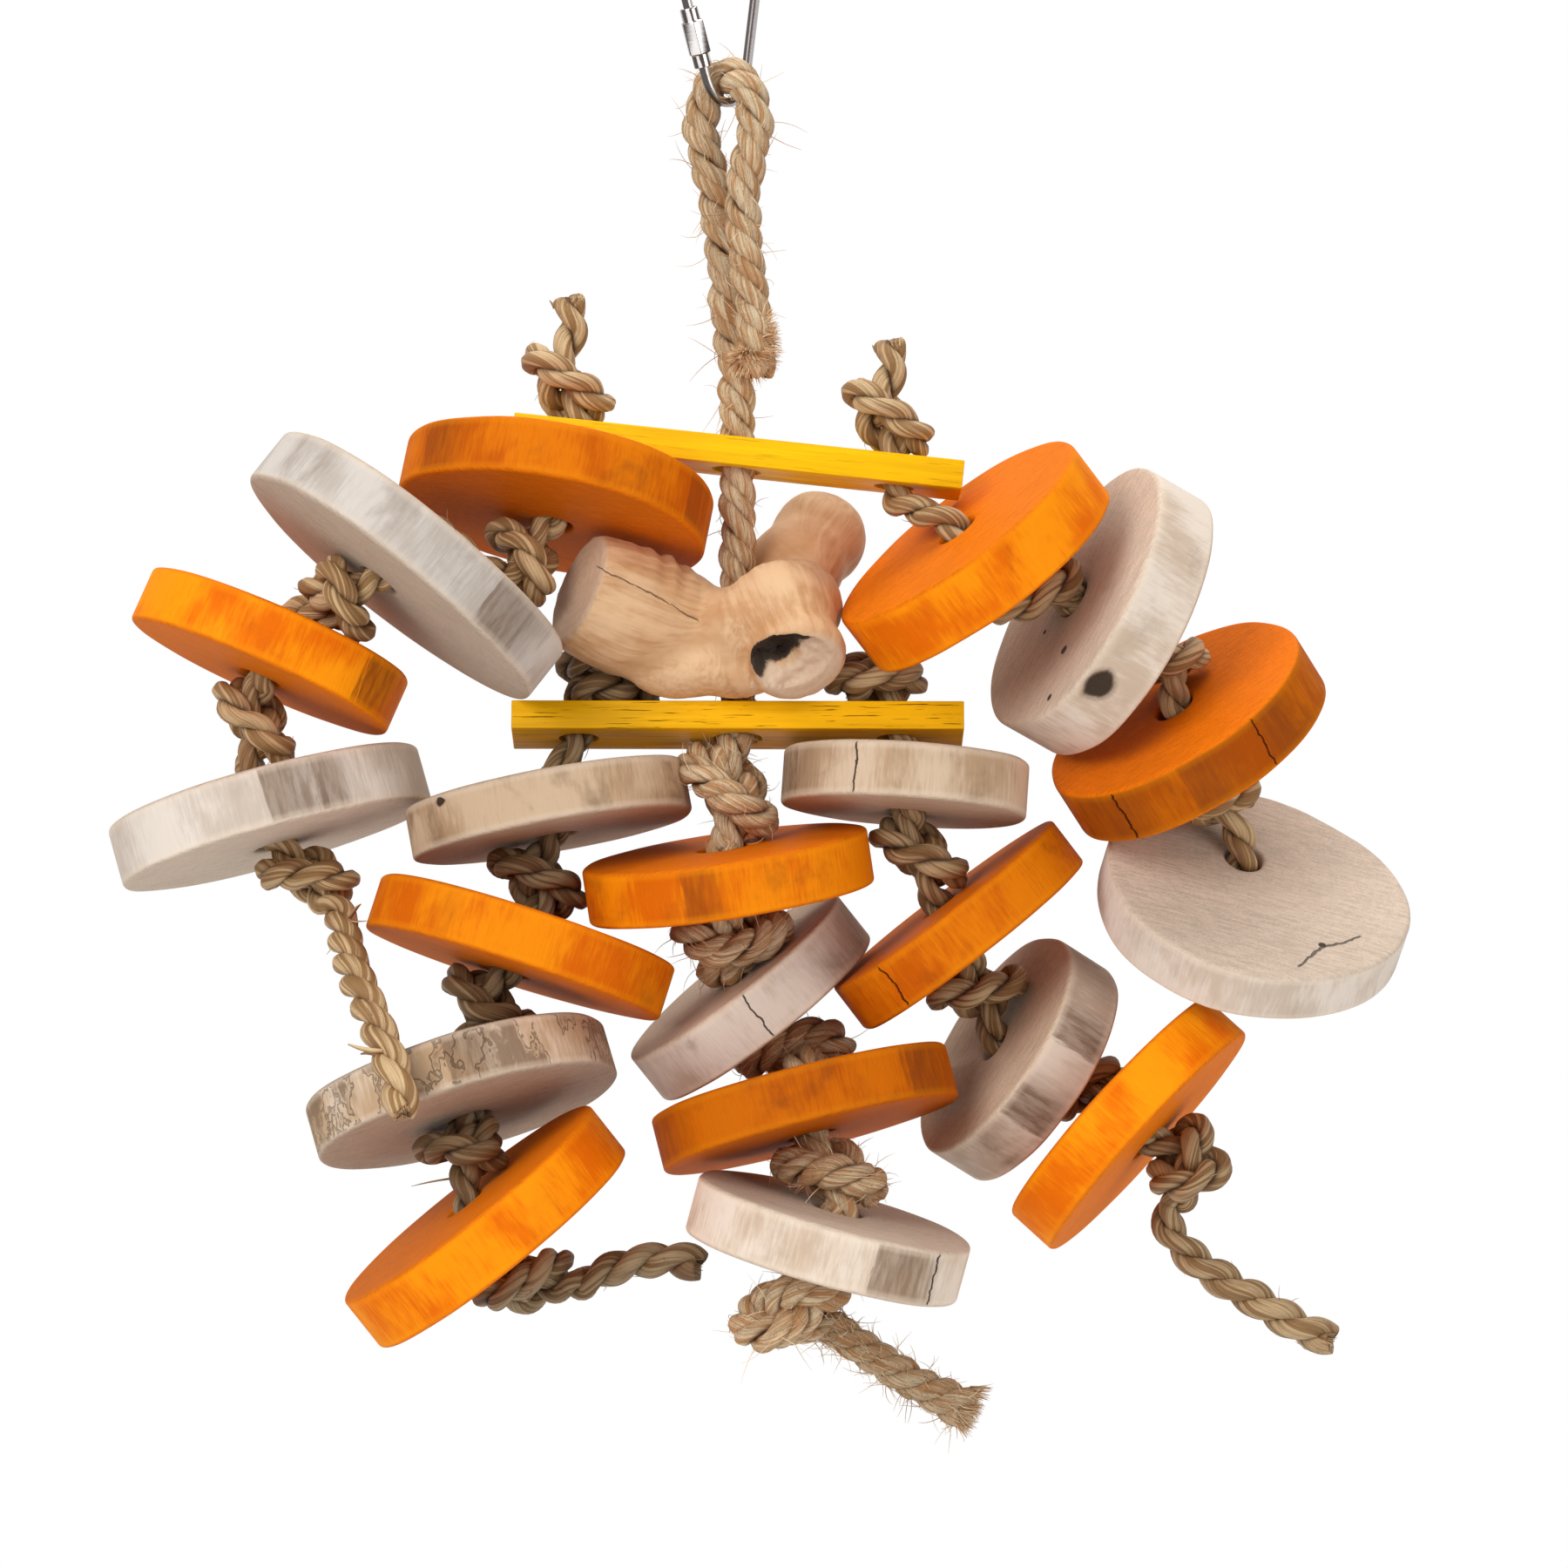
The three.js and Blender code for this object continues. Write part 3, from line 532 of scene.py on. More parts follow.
def slices_on(arm, diameter):
    """The rope through the slices of an arm, with a knot under each of them."""
    holes = [slice_hole(f"{arm}_disc_{n + 1}") for n in range(SLICES_ON_ARM)]
    turns = ARMS[arm].knot_turns
    lines = []
    for hole, following, turn in zip(holes, holes[1:], turns):
        lines.append(hole.run())
        lines.append(tie(hole, following.mouth, following.way, diameter, turn, following=following))
    end, arriving = tail_begin(arm)
    leaning = ARMS[arm].last_knot_lean
    lean = None if leaning is None else hung(leaning)
    lines.append(holes[-1].run())
    lines.append(tie(holes[-1], end, arriving, diameter, turns[-1], lean=lean))
    return lines


def with_tail(lines, arm):
    """An arm's whole rope as one line, with its tail if it has one, and the tail's length."""
    if ARMS[arm].tail is None:
        return join_lines(lines), 0.0
    start, way = tail_begin(arm)
    size, _ = solid_sizes(arm)
    tail = smooth_line(np.vstack([start, start + way * size / 2, hung(ARMS[arm].tail)]))
    return join_lines(lines + [tail]), line_length(tail)


def main_line(diameter):
    """The main rope from its cut end over the link to the end of its tail, and the tail's length."""
    route = hung(EYE_ROUTE)
    plumb = route[-1]
    slat = Slat("lower_slat")
    height = joint_place("lower_slat_turn")[2]
    drop = Hole((plumb[0], plumb[1], height), (0, 0, -1), slat.thickness / slat.up[2], SLAT_REACH)
    first = slice_hole("main_disc_1")
    knot = tie(drop, first.mouth, first.way, diameter, DOUBLE_KNOT_TURN, tall=DOUBLE_KNOT, following=first)
    lines = [smooth_line(route), np.stack([plumb, drop.mouth]), drop.run(), knot]
    return with_tail(lines + slices_on("main", diameter), "main")


def arm_line(arm, diameter):
    """An arm's rope from its cut end on the slat to the end of its tail, and the tail's length."""
    hole = slat_hole(arm)
    above = Hole(hole.middle, -hole.way, hole.depth, SLAT_REACH)
    cut = hung(ARMS[arm].cut_end)
    standing = arm.startswith("upper")
    tall = 1.0 if standing else FLAT_KNOT
    way = unit(cut[0] - cut[-1])
    knot = tie(above, cut[-1], way, diameter, STOP_KNOT_TURN, tall=tall, room=STOP_KNOT_ROOM)
    first = slice_hole(f"{arm}_disc_1")
    lead = bend(hole.exit, hole.way, first.mouth, first.way)
    lines = [smooth_line(cut) if standing else cut, knot[::-1], hole.run(), lead]
    return with_tail(lines + slices_on(arm, diameter), arm)


def tail_split(line, tail_length):
    """How far along a rope each of its points lies, and the point where its tail starts."""
    along = np.linspace(0, line_length(line), len(line))
    return along, int(np.searchsorted(along, along[-1] - tail_length))


class RopeKind:
    """How a rope is laid: its strands, sizes, unevenness and counter twist."""

    def __init__(self, strands, diameter, lay, sides, unevenness):
        self.strands = strands
        self.unevenness = unevenness
        self.diameter = diameter
        self.lay = lay
        self.sides = sides
        touch = math.sin(math.pi / strands)
        self.lay_radius = 0.5 * diameter / (1 + touch)
        self.strand_radius = 1.1 * self.lay_radius * touch
        if strands == 2:
            self.lay_radius *= 0.9
            self.strand_radius *= 1.06
        self.counter_twist = 0.92 * (self.lay_radius + self.strand_radius) / self.strand_radius


def across_line(line):
    """Two directions across a line at each point, which don't spin round it."""
    ways = unit_rows(np.gradient(line, axis=0))
    normals = [unit(np.cross(ways[0], (0.0, 1.0, 0.3)))]
    for way in ways[1:]:
        normals.append(unit(normals[-1] - (normals[-1] @ way) * way))
    return np.array(normals), np.cross(ways, normals)


def tube_faces(base, rings, sides):
    """Faces of a tube of rings of points, with a fan to a middle point at each end."""
    ring = np.arange(sides)
    after = np.roll(ring, -1)
    faces = []
    for low in base + sides * np.arange(rings - 1):
        high = low + sides
        faces += np.stack([low + ring, low + after, high + after, high + ring], axis=1).tolist()
    foot = base + rings * sides
    top = foot - sides
    faces += [(base + b, base + a, foot) for a, b in zip(ring, after)]
    faces += [(top + a, top + b, foot + 1) for a, b in zip(ring, after)]
    return faces


class LaidRope:
    """A rope of twisted strands: a ring of points for each strand at each step, and its fibres' places."""

    def __init__(self, line, kind, girth, tail_start):
        self.line = line
        self.kind = kind
        self.girth = girth
        self.along = np.arange(len(line)) * line_length(line) / (len(line) - 1)
        evening = (self.along[tail_start] - self.along) / EVENING_RUN
        self.uneven = kind.unevenness * np.clip(evening, TAIL_UNEVENNESS, 1)
        self.rings = []
        self.fibres = []
        self.outward = []
        normals, sides = across_line(line)
        for strand in range(kind.strands):
            self.add_strand(strand, normals, sides)

    def add_strand(self, strand, normals, sides):
        """One strand wound round the line, with fibres that twist the other way."""
        kind, along = self.kind, self.along
        turn = np.arange(kind.sides) * FULL_TURN / kind.sides
        angle = -FULL_TURN * along / kind.lay + FULL_TURN * strand / kind.strands
        angle += self.uneven * np.sin(0.17 * along + 2.6 * strand)
        out = np.cos(angle)[:, None] * normals + np.sin(angle)[:, None] * sides
        middle = self.line + out * (kind.lay_radius * self.girth)[:, None]
        way = unit_rows(np.gradient(middle, axis=0))
        first = unit_rows(out - (out * way).sum(axis=1)[:, None] * way)
        second = np.cross(way, first)
        fibre = turn[None] + kind.counter_twist * angle[:, None]
        swell = 0.5 * np.sin(0.21 * along + 2.1 * strand) + 0.4 * np.sin(0.57 * along + 4.4 * strand)
        swell = 1 + self.uneven * swell
        ridge = 1 + 0.035 * np.sin(5 * fibre + strand) + 0.03 * np.sin(3 * fibre + 2 * strand)
        radius = kind.strand_radius * (swell * self.girth)[:, None] * ridge
        spoke = np.cos(turn)[:, None] * first[:, None] + np.sin(turn)[:, None] * second[:, None]
        place = np.broadcast_to(along[:, None] / kind.strand_radius + 40.0 * strand, fibre.shape)
        self.rings.append(middle[:, None] + radius[:, :, None] * spoke)
        self.outward.append(spoke)
        self.fibres.append(np.stack([np.cos(fibre), np.sin(fibre), place], axis=2))

    def nearest(self, place):
        """The point of the rope's surface nearest to a place."""
        surface = np.vstack([rings.reshape(-1, 3) for rings in self.rings])
        return surface[np.linalg.norm(surface - place, axis=1).argmin()]

    def strand_ends(self, step):
        """The middle of each strand at a step of the line."""
        return [rings[step].mean(axis=0) for rings in self.rings]

    def mesh(self, name, first, last):
        """The strands between two steps of the line as one mesh with closed ends."""
        points, faces, fibres, crease_shades = [], [], [], []
        envelope = self.kind.lay_radius + self.kind.strand_radius
        for rings, fibre in zip(self.rings, self.fibres):
            faces += tube_faces(sum(map(len, points)), last - first, self.kind.sides)
            part = rings[first:last]
            points += [part.reshape(-1, 3), part[[0, -1]].mean(axis=1)]
            # How far out each point lies; the finishes paint shade where it is low, in the creases between
            # strands
            near = np.linalg.norm(part - self.line[first:last, None], axis=2) / envelope
            crease_shades += [near.ravel(), [1.0, 1.0]]
            fibres += [fibre[first:last].reshape(-1, 3), fibre[[first, last - 1]].mean(axis=1)]
        mesh = new_mesh(name, np.vstack(points), faces)
        keep(mesh, "fibre", np.vstack(fibres))
        keep(mesh, "crease_shade", np.concatenate(crease_shades))
        return mesh


def new_mesh(name, points, faces):
    """A smooth mesh from points in millimetres."""
    mesh = bpy.data.meshes.new(name)
    mesh.from_pydata((np.asarray(points) * MM).tolist(), [], faces)
    mesh.validate()
    mesh.update()
    mesh.shade_smooth()
    return mesh


def keep(mesh, name, values):
    """A number or a vector for each point of a mesh, which the finish reads by name."""
    values = np.asarray(values, np.float32)
    kind, field = ("FLOAT", "value") if values.ndim == 1 else ("FLOAT_VECTOR", "vector")
    layer = mesh.attributes.new(name, kind, "POINT")
    layer.data.foreach_set(field, values.ravel())


def move_points(mesh, points):
    """Puts the points of a mesh at places in millimetres."""
    mesh.vertices.foreach_set("co", (np.asarray(points) * MM).ravel())
    mesh.update()


def add_piece(mesh, material, body, slot, *nodes):
    """A finished mesh as a piece of the toy that rides on a body and stands for CAD nodes."""
    piece = bpy.data.objects.new(mesh.name, mesh)
    bpy.context.scene.collection.objects.link(piece)
    mesh.materials.clear()
    mesh.materials.append(material)
    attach(piece, body)
    if nodes:
        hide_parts(*nodes)
    return piece


def finished(copy, name):
    """The mesh of a modelled copy under its final name. The copy itself is taken away."""
    mesh = copy.data
    mesh.name = name
    bpy.data.objects.remove(copy)
    return mesh


class Brush(NamedTuple):
    """Cut fibres: how many there are, how long, how far they spread and how wide each is."""

    count: int
    length: float
    flare: float
    width: float


class Tuft:
    """Loose fibres and leaf tips, gathered into one mesh."""

    def __init__(self):
        self.points = []
        self.faces = []
        self.fibres = []

    def add(self, root, way, droop, length, width, thickness, tone):
        """One fibre from its root, bending as it goes and running to a thin tip."""
        heading = unit(way)
        across = unit(np.cross(heading, droop + np.array([0.31, 0.17, 0.53])))
        turn = np.arange(HAIR_SIDES) * FULL_TURN / HAIR_SIDES
        place = np.array(root, float)
        rings = []
        for joint in range(HAIR_JOINTS):
            taper = 1 - 0.75 * (joint / (HAIR_JOINTS - 1)) ** 2
            up = unit(np.cross(heading, across))
            side = np.cross(up, heading)
            ring = np.cos(turn)[:, None] * side * width + np.sin(turn)[:, None] * up * thickness
            rings.append(place + ring * taper / 2)
            place = place + heading * length / (HAIR_JOINTS - 1)
            heading = unit(heading + droop / (HAIR_JOINTS - 1))
        self.add_faces(HAIR_SIDES * HAIR_JOINTS * len(self.points))
        self.points.append(np.vstack(rings))
        self.fibres.append(np.tile((math.cos(tone), math.sin(tone), tone), (HAIR_SIDES * HAIR_JOINTS, 1)))

    def add_faces(self, base):
        """The sides and the two flat ends of one fibre."""
        for joint in range(HAIR_JOINTS - 1):
            low = base + joint * HAIR_SIDES
            high = low + HAIR_SIDES
            for k in range(HAIR_SIDES):
                after = (k + 1) % HAIR_SIDES
                self.faces.append((low + k, low + after, high + after, high + k))
        self.faces.append(tuple(base + k for k in reversed(range(HAIR_SIDES))))
        self.faces.append(tuple(high + k for k in range(HAIR_SIDES)))

    def add_hairs(self, rope, first, last, count, longest, chance):
        """Stray fibres that stand out of the strands of a rope."""
        for _ in range(count):
            strand = chance.integers(len(rope.rings))
            step = chance.integers(first + 2, last - 2)
            turn = chance.integers(-3, 4)
            root = rope.rings[strand][step, turn]
            out = rope.outward[strand][step, turn]
            onward = unit(rope.line[step + 1] - rope.line[step - 1]) * chance.choice([-1, 1])
            way = 0.5 * out + onward * chance.uniform(0.2, 1.2) + chance.normal(0, 0.35, 3)
            droop = chance.normal(0, 0.7, 3) - 0.25 * out
            length = longest * chance.uniform(0.25, 1) ** 1.6
            tone = chance.uniform(0, HAIR_TONES)
            self.add(root - 0.3 * out, way, droop, length, HAIR_WIDTH, HAIR_THICKNESS, tone)

    def add_brush(self, middle, way, radius, brush, chance):
        """The brush of cut fibres at the end of a rope."""
        way = unit(way)
        across = unit(np.cross(way, (0.2, 1.0, 0.1)))
        up = np.cross(way, across)
        for _ in range(brush.count):
            angle = chance.uniform(0, FULL_TURN)
            share = math.sqrt(chance.uniform(0, 1))
            spoke = math.cos(angle) * across + math.sin(angle) * up
            root = middle + spoke * share * radius - way * BRUSH_ROOT
            heading = way + spoke * share * brush.flare + chance.normal(0, 0.1, 3)
            droop = chance.normal(0, 0.22, 3)
            length = brush.length * chance.uniform(0.75, 1.15)
            tone = chance.uniform(0, HAIR_TONES)
            self.add(root, heading, droop, length, brush.width, BRUSH_THICKNESS, tone)

    def mesh(self, name):
        """All the fibres as one mesh."""
        points = np.vstack(self.points)
        mesh = new_mesh(name, points, self.faces)
        keep(mesh, "fibre", np.vstack(self.fibres))
        keep(mesh, "crease_shade", np.full(len(points), LOOSE_CREASE_SHADE))
        return mesh


def math_node(operation, swapped=False):
    """A method of a value that adds a Math node."""

    def method(self, other=0.0):
        pair = [other, self] if swapped else [self, other]
        return self.nodes.node("ShaderNodeMath", {"operation": operation}, pair)

    return method


class Value:
    """An output of a node. Sums with it add Math nodes."""

    def __init__(self, nodes, output):
        self.nodes = nodes
        self.output = output

    __add__ = __radd__ = math_node("ADD")
    __sub__ = math_node("SUBTRACT")
    __rsub__ = math_node("SUBTRACT", swapped=True)
    __mul__ = __rmul__ = math_node("MULTIPLY")
    __truediv__ = math_node("DIVIDE")
    __abs__ = math_node("ABSOLUTE")
    sine = math_node("SINE")
    larger = math_node("MAXIMUM")


class Nodes:
    """The nodes of a finish or of the surround."""

    def __init__(self, tree):
        self.tree = tree

    def feed(self, socket, value):
        """A value or a link into a socket."""
        if isinstance(value, Value):
            self.tree.links.new(value.output, socket)
        else:
            socket.default_value = value

    def node(self, kind, settings, values, output=0):
        """One node: its settings, then the values or links of its sockets, by place or by name."""
        node = self.tree.nodes.new(kind)
        for name, setting in settings.items():
            setattr(node, name, setting)
        pairs = values.items() if isinstance(values, dict) else enumerate(values)
        for socket, value in pairs:
            self.feed(node.inputs[socket], value)
        return Value(self, node.outputs[output]) if node.outputs else None


class Finish(Nodes):
    """A node-based material."""

    def __init__(self, name):
        self.material = bpy.data.materials.new(name)
        self.material.use_nodes = True
        super().__init__(self.material.node_tree)
        self.shader = self.tree.nodes["Principled BSDF"]

    def attribute(self, name, output="Vector"):
        return self.node("ShaderNodeAttribute", {"attribute_name": name}, {}, output)

    def coordinates(self, output):
        return self.node("ShaderNodeTexCoord", {}, {}, output)

    def parts(self, vector):
        """The three numbers of a vector."""
        first = self.node("ShaderNodeSeparateXYZ", {}, [vector])
        return [Value(self, output) for output in first.output.node.outputs]

    def stretched(self, vector, x, y, z):
        return self.node("ShaderNodeVectorMath", {"operation": "MULTIPLY"}, [vector, (x, y, z)])

    def shifted(self, vector, x, y, z):
        return self.node("ShaderNodeVectorMath", {"operation": "ADD"}, [vector, (x, y, z)])

    def distance(self, x, y):
        """How far a flat place is from the middle."""
        place = self.node("ShaderNodeCombineXYZ", {}, [x, y, 0.0])
        return self.node("ShaderNodeVectorMath", {"operation": "LENGTH"}, [place], "Value")

    def noise(self, vector, scale, detail=4.0, roughness=0.55, distortion=0.0):
        values = {"Vector": vector, "Scale": scale, "Detail": detail}
        values.update({"Roughness": roughness, "Distortion": distortion})
        return self.node("ShaderNodeTexNoise", {}, values)

    def grain(self, vector, x, y, z, *look):
        """Noise stretched along the axes that have a small scale."""
        return self.noise(self.stretched(vector, x, y, z), 1.0, *look)

    def ramp(self, value, low, high):
        """Zero below low, one above high and smooth between them."""
        values = {"Value": value, "From Min": low, "From Max": high}
        return self.node("ShaderNodeMapRange", {"interpolation_type": "SMOOTHSTEP"}, values)

    def fall(self, value, low, high):
        """One below low, zero above high and smooth between them."""
        return 1 - self.ramp(value, low, high)

    def mix(self, share, first, second):
        """A colour between two colours."""
        colours = [c if isinstance(c, Value) else (*c, 1.0) for c in (first, second)]
        values = {0: share, 6: colours[0], 7: colours[1]}
        return self.node("ShaderNodeMix", {"data_type": "RGBA"}, values, 2)

    def line_mark(self, x, y, start, end, half_width, wander):
        """One along a thin line between two points of a flat place, and zero away from it."""
        long = math.dist(start, end)
        run_x, run_y = (end[0] - start[0]) / long, (end[1] - start[1]) / long
        along = (x - start[0]) * run_x + (y - start[1]) * run_y
        aside = abs((y - start[1]) * run_x - (x - start[0]) * run_y + wander)
        ends = self.ramp(along, -0.5, 1.0) * self.fall(along, long - 1.0, long + 0.5)
        return self.fall(aside, 0.25 * half_width, half_width) * ends

    def bump(self, height, distance):
        """A surface raised by a height from zero to one, in millimetres."""
        values = {"Height": height, "Distance": distance * MM, "Strength": 1.0}
        return self.node("ShaderNodeBump", {}, values)

    def surface(self, colour, roughness, normal=None, **plain):
        """Joins the finish to the shader. Plain values are set on the shader's own sockets."""
        for name, value in plain.items():
            self.shader.inputs[name.replace("_", " ")].default_value = value
        colour = colour if isinstance(colour, Value) else (*colour, 1.0)
        self.feed(self.shader.inputs["Base Color"], colour)
        self.feed(self.shader.inputs["Roughness"], roughness)
        if normal is not None:
            self.feed(self.shader.inputs["Normal"], normal)
        return self.material


def between(share, first, second):
    """A colour part of the way between two others."""
    return tuple((1 - share) * a + share * b for a, b in zip(first, second))


def scaled(share, colour):
    """A darker or lighter colour."""
    return tuple(share * part for part in colour)


def sisal_finish(name, shade, ropes):
    """Pale fibres along the strands, with darker ones between and shade in the creases."""
    fibres = (ropes.sisal_pale, ropes.sisal_gold, ropes.sisal_dark_and_crease_shade)
    pale, gold, deep = (scaled(shade, fibre) for fibre in fibres)
    finish = Finish(name)
    fibre = finish.attribute("fibre")
    crease_shade = finish.attribute("crease_shade", "Fac")
    fine = finish.noise(finish.stretched(fibre, 1, 1, 0.02), 11, 4, 0.7)
    broad = finish.noise(finish.stretched(fibre, 1, 1, 0.1), 2.2, 3)
    patch = finish.noise(finish.stretched(fibre, 0.4, 0.4, 0.25), 0.8, 2)
    tone = finish.ramp(fine * 0.6 + broad * 0.4, 0.44, 0.54)
    colour = finish.mix(tone, gold, pale)
    colour = finish.mix(finish.ramp(patch, 0.5, 0.7) * 0.7, colour, gold)
    colour = finish.mix(finish.ramp(fine, 0.55, 0.64) * 0.85, colour, deep)
    # Painted shade: the creases between the strands are darkened toward the deep sisal colour
    colour = finish.mix(finish.ramp(1 - crease_shade, 0.14, 0.46) * 0.92, colour, deep)
    normal = finish.bump(fine * 0.75 + broad * 0.25, 1.3)
    return finish.surface(colour, 0.5 + fine * 0.3, normal, Specular_IOR_Level=0.2)


def seagrass_finish(arm, ropes):
    """Dry leaves along the strands, each with its own tone, fine ribs and a satin face, and painted shade
    in the creases between the strands.
    """
    leaves = (ropes.seagrass_straw, ropes.seagrass_olive, ropes.seagrass_russet)
    straw, olive, russet = (scaled(ARMS[arm].shade, leaf) for leaf in leaves)
    finish = Finish(f"{arm}_seagrass")
    fibre = finish.attribute("fibre")
    crease_shade = finish.attribute("crease_shade", "Fac")
    leaf = finish.noise(finish.stretched(fibre, 1, 1, 0.05), 1.9, 1)
    rib = finish.noise(finish.stretched(fibre, 1, 1, 0.012), 11, 3, 0.65)
    blotch = finish.noise(finish.stretched(fibre, 0.7, 0.7, 0.16), 1.2, 3)
    colour = finish.mix(finish.ramp(leaf, 0.43, 0.57), olive, straw)
    colour = finish.mix(finish.ramp(blotch, 0.53, 0.7) * 0.75, colour, russet)
    colour = finish.mix(finish.ramp(rib, 0.5, 0.68) * 0.6, colour, scaled(0.5, olive))
    # Painted shade: the creases between the strands are darkened toward a deep russet
    colour = finish.mix(finish.ramp(1 - crease_shade, 0.22, 0.62) * 0.9, colour, scaled(0.2, russet))
    normal = finish.bump(rib * 0.45 + leaf * 0.55, 1.1)
    return finish.surface(colour, 0.4 + rib * 0.25, normal, Specular_IOR_Level=0.3)


class SliceColours(NamedTuple):
    """The colours of a kind of slice: its rim, pale, grey, streaked and deep, its stains and its faces."""

    rim: tuple
    cool: tuple
    streak: tuple
    deep: tuple
    stain: tuple
    face: tuple


# How each slice differs. tone runs from pale to deep, warmth from grey to cream. shade darkens the rim, and
# the faces too unless they have a value of their own; on some slices it is painted shade, where the light
# leaves a rim or a face dark. Marks are in the slice's own millimetres: stains (start, end of the dark
# part, end), splits and knots (place, height, radius) lie on the rim, pits (x, y, radius) and cracks (x, y
# to x, y) on the sawn faces. spalt is the share of dark rotten patches.
SLICE_LOOKS = {
    "main_disc_1": {"tone": 0.5, "shade": 0.92, "stains": [(-13, -9, 3)]},
    "main_disc_2": {"tone": 0.5, "warmth": 0.35, "splits": [-1.5]},
    "main_disc_3": {"tone": 1.0, "shade": 0.66, "stains": [(-46, -42, -28), (30, 38, 46)]},
    "main_disc_4": {"tone": 0.1, "warmth": 0.6, "stains": [(13, 25, 33)], "splits": [30]},
    "upper_left_disc_1": {
        "tone": 0.8, "shade": 0.78, "face": 0.9, "stains": [(-40, -36, -22), (36, 40, 46)],
    },
    "upper_left_disc_2": {"tone": 0.35, "shade": 0.86, "warmth": 0.1, "stains": [(28, 36, 52)]},
    "upper_left_disc_3": {"tone": 0.1, "stains": [(28, 33, 42)]},
    "upper_left_disc_4": {"tone": 0.05, "warmth": 0.3, "stains": [(3, 12, 30), (18, 22, 34)]},
    "upper_right_disc_1": {"tone": 0.3},
    "upper_right_disc_2": {
        "tone": 0.3, "warmth": 0.5, "knots": [(-19.5, -3.9, 4.2)],
        "pits": [(-14.6, 13.4, 1.7), (-28.8, 21.8, 1.3), (-12.2, -7.3, 1.0)],
    },
    # shade 0.6 with face 1.0 is painted shade: the rim, which faces down, is darkened and the faces are not
    "upper_right_disc_3": {
        "tone": 0.95, "shade": 0.6, "face": 1.0, "stains": [(15, 20, 31), (-40, -30, -16), (-12, -4, 10)],
        "splits": [14.1, -29.8],
    },
    "upper_right_disc_4": {
        "tone": 0.1, "warmth": 0.4, "pits": [(26.5, 31, 1.3)],
        "cracks": [(20.4, 43.8, 26.8, 31.5), (26.8, 31.5, 37, 22)],
    },
    "lower_left_disc_1": {"tone": 0.9, "shade": 0.82, "warmth": 1.0, "knots": [(-29.7, -5, 1.3)]},
    "lower_left_disc_2": {"tone": 0.35, "shade": 0.9},
    # face 0.72 is partly painted shadow on the lower face and partly the face's own browner colour
    "lower_left_disc_3": {
        "tone": 0.5, "shade": 0.94, "face": 0.72, "warmth": 0.9, "stains": [(-19, -14, -6), (-1, 10, 20)],
        "spalt": 0.9,
    },
    "lower_left_disc_4": {"tone": 0.2},
    "lower_right_disc_1": {
        "tone": 0.8, "shade": 0.88, "warmth": 0.9, "splits": [-15.5], "stains": [(-37, -34, -22)],
    },
    "lower_right_disc_2": {"tone": 0.7, "shade": 0.8, "splits": [-24.3]},
    "lower_right_disc_3": {"tone": 0.75, "warmth": 0.4, "stains": [(10, 18, 26), (-16, -9, 4)]},
    "lower_right_disc_4": {"tone": 0.0},
}


def slice_marks(finish, look, place, rim):
    """Where a slice is stained or split, as two shares from zero to one."""
    x, y, z = finish.parts(place)
    wander = finish.grain(place, 0.05, 0.05, 0.14, 4, 0.6) - 0.5
    drift = finish.grain(place, 0.2, 0.2, 0.03, 4, 0.65) - 0.5
    streaks = finish.grain(place, 0.5, 0.5, 0.09, 4, 0.6)
    front = finish.ramp(y, -2.0, 2.0) * rim
    sawn = 1 - rim
    stain = rim * 0.0
    split = rim * 0.0
    for start, dark_end, end in look.get("stains", []):
        along = x + drift * 9
        share = finish.ramp(along, start, start + 1.2) * finish.fall(along, dark_end, end)
        stain = stain.larger(share * (0.66 + finish.ramp(streaks, 0.36, 0.64) * 0.34) * front)
    for middle in look.get("splits", []):
        split = split.larger(finish.fall(abs(x - middle + wander * 4), 0.08, 0.32) * front)
    for middle, height, radius in look.get("knots", []):
        around = finish.distance(x - middle + wander * 5, z - height)
        split = split.larger(finish.fall(around, radius * 0.75, radius * 1.05) * front)
        stain = stain.larger(finish.fall(around, radius, radius * 1.4) * front * 0.6)
    for pit_x, pit_y, radius in look.get("pits", []):
        around = finish.distance(x - pit_x + wander * 4, y - pit_y)
        split = split.larger(finish.fall(around, radius * 0.6, radius) * sawn)
    for x0, y0, x1, y1 in look.get("cracks", []):
        line = finish.line_mark(x, y, (x0, y0), (x1, y1), 0.5, wander * 7)
        split = split.larger(line * sawn * 0.8)
    if "spalt" in look:
        patches = finish.grain(place, 0.08, 0.08, 0.05, 4, 0.62)
        stain = stain.larger(finish.ramp(patches, 0.52, 0.6) * look["spalt"] * rim)
        split = split.larger(finish.fall(abs(patches - 0.52), 0.004, 0.014) * 0.5 * rim)
    return stain, split


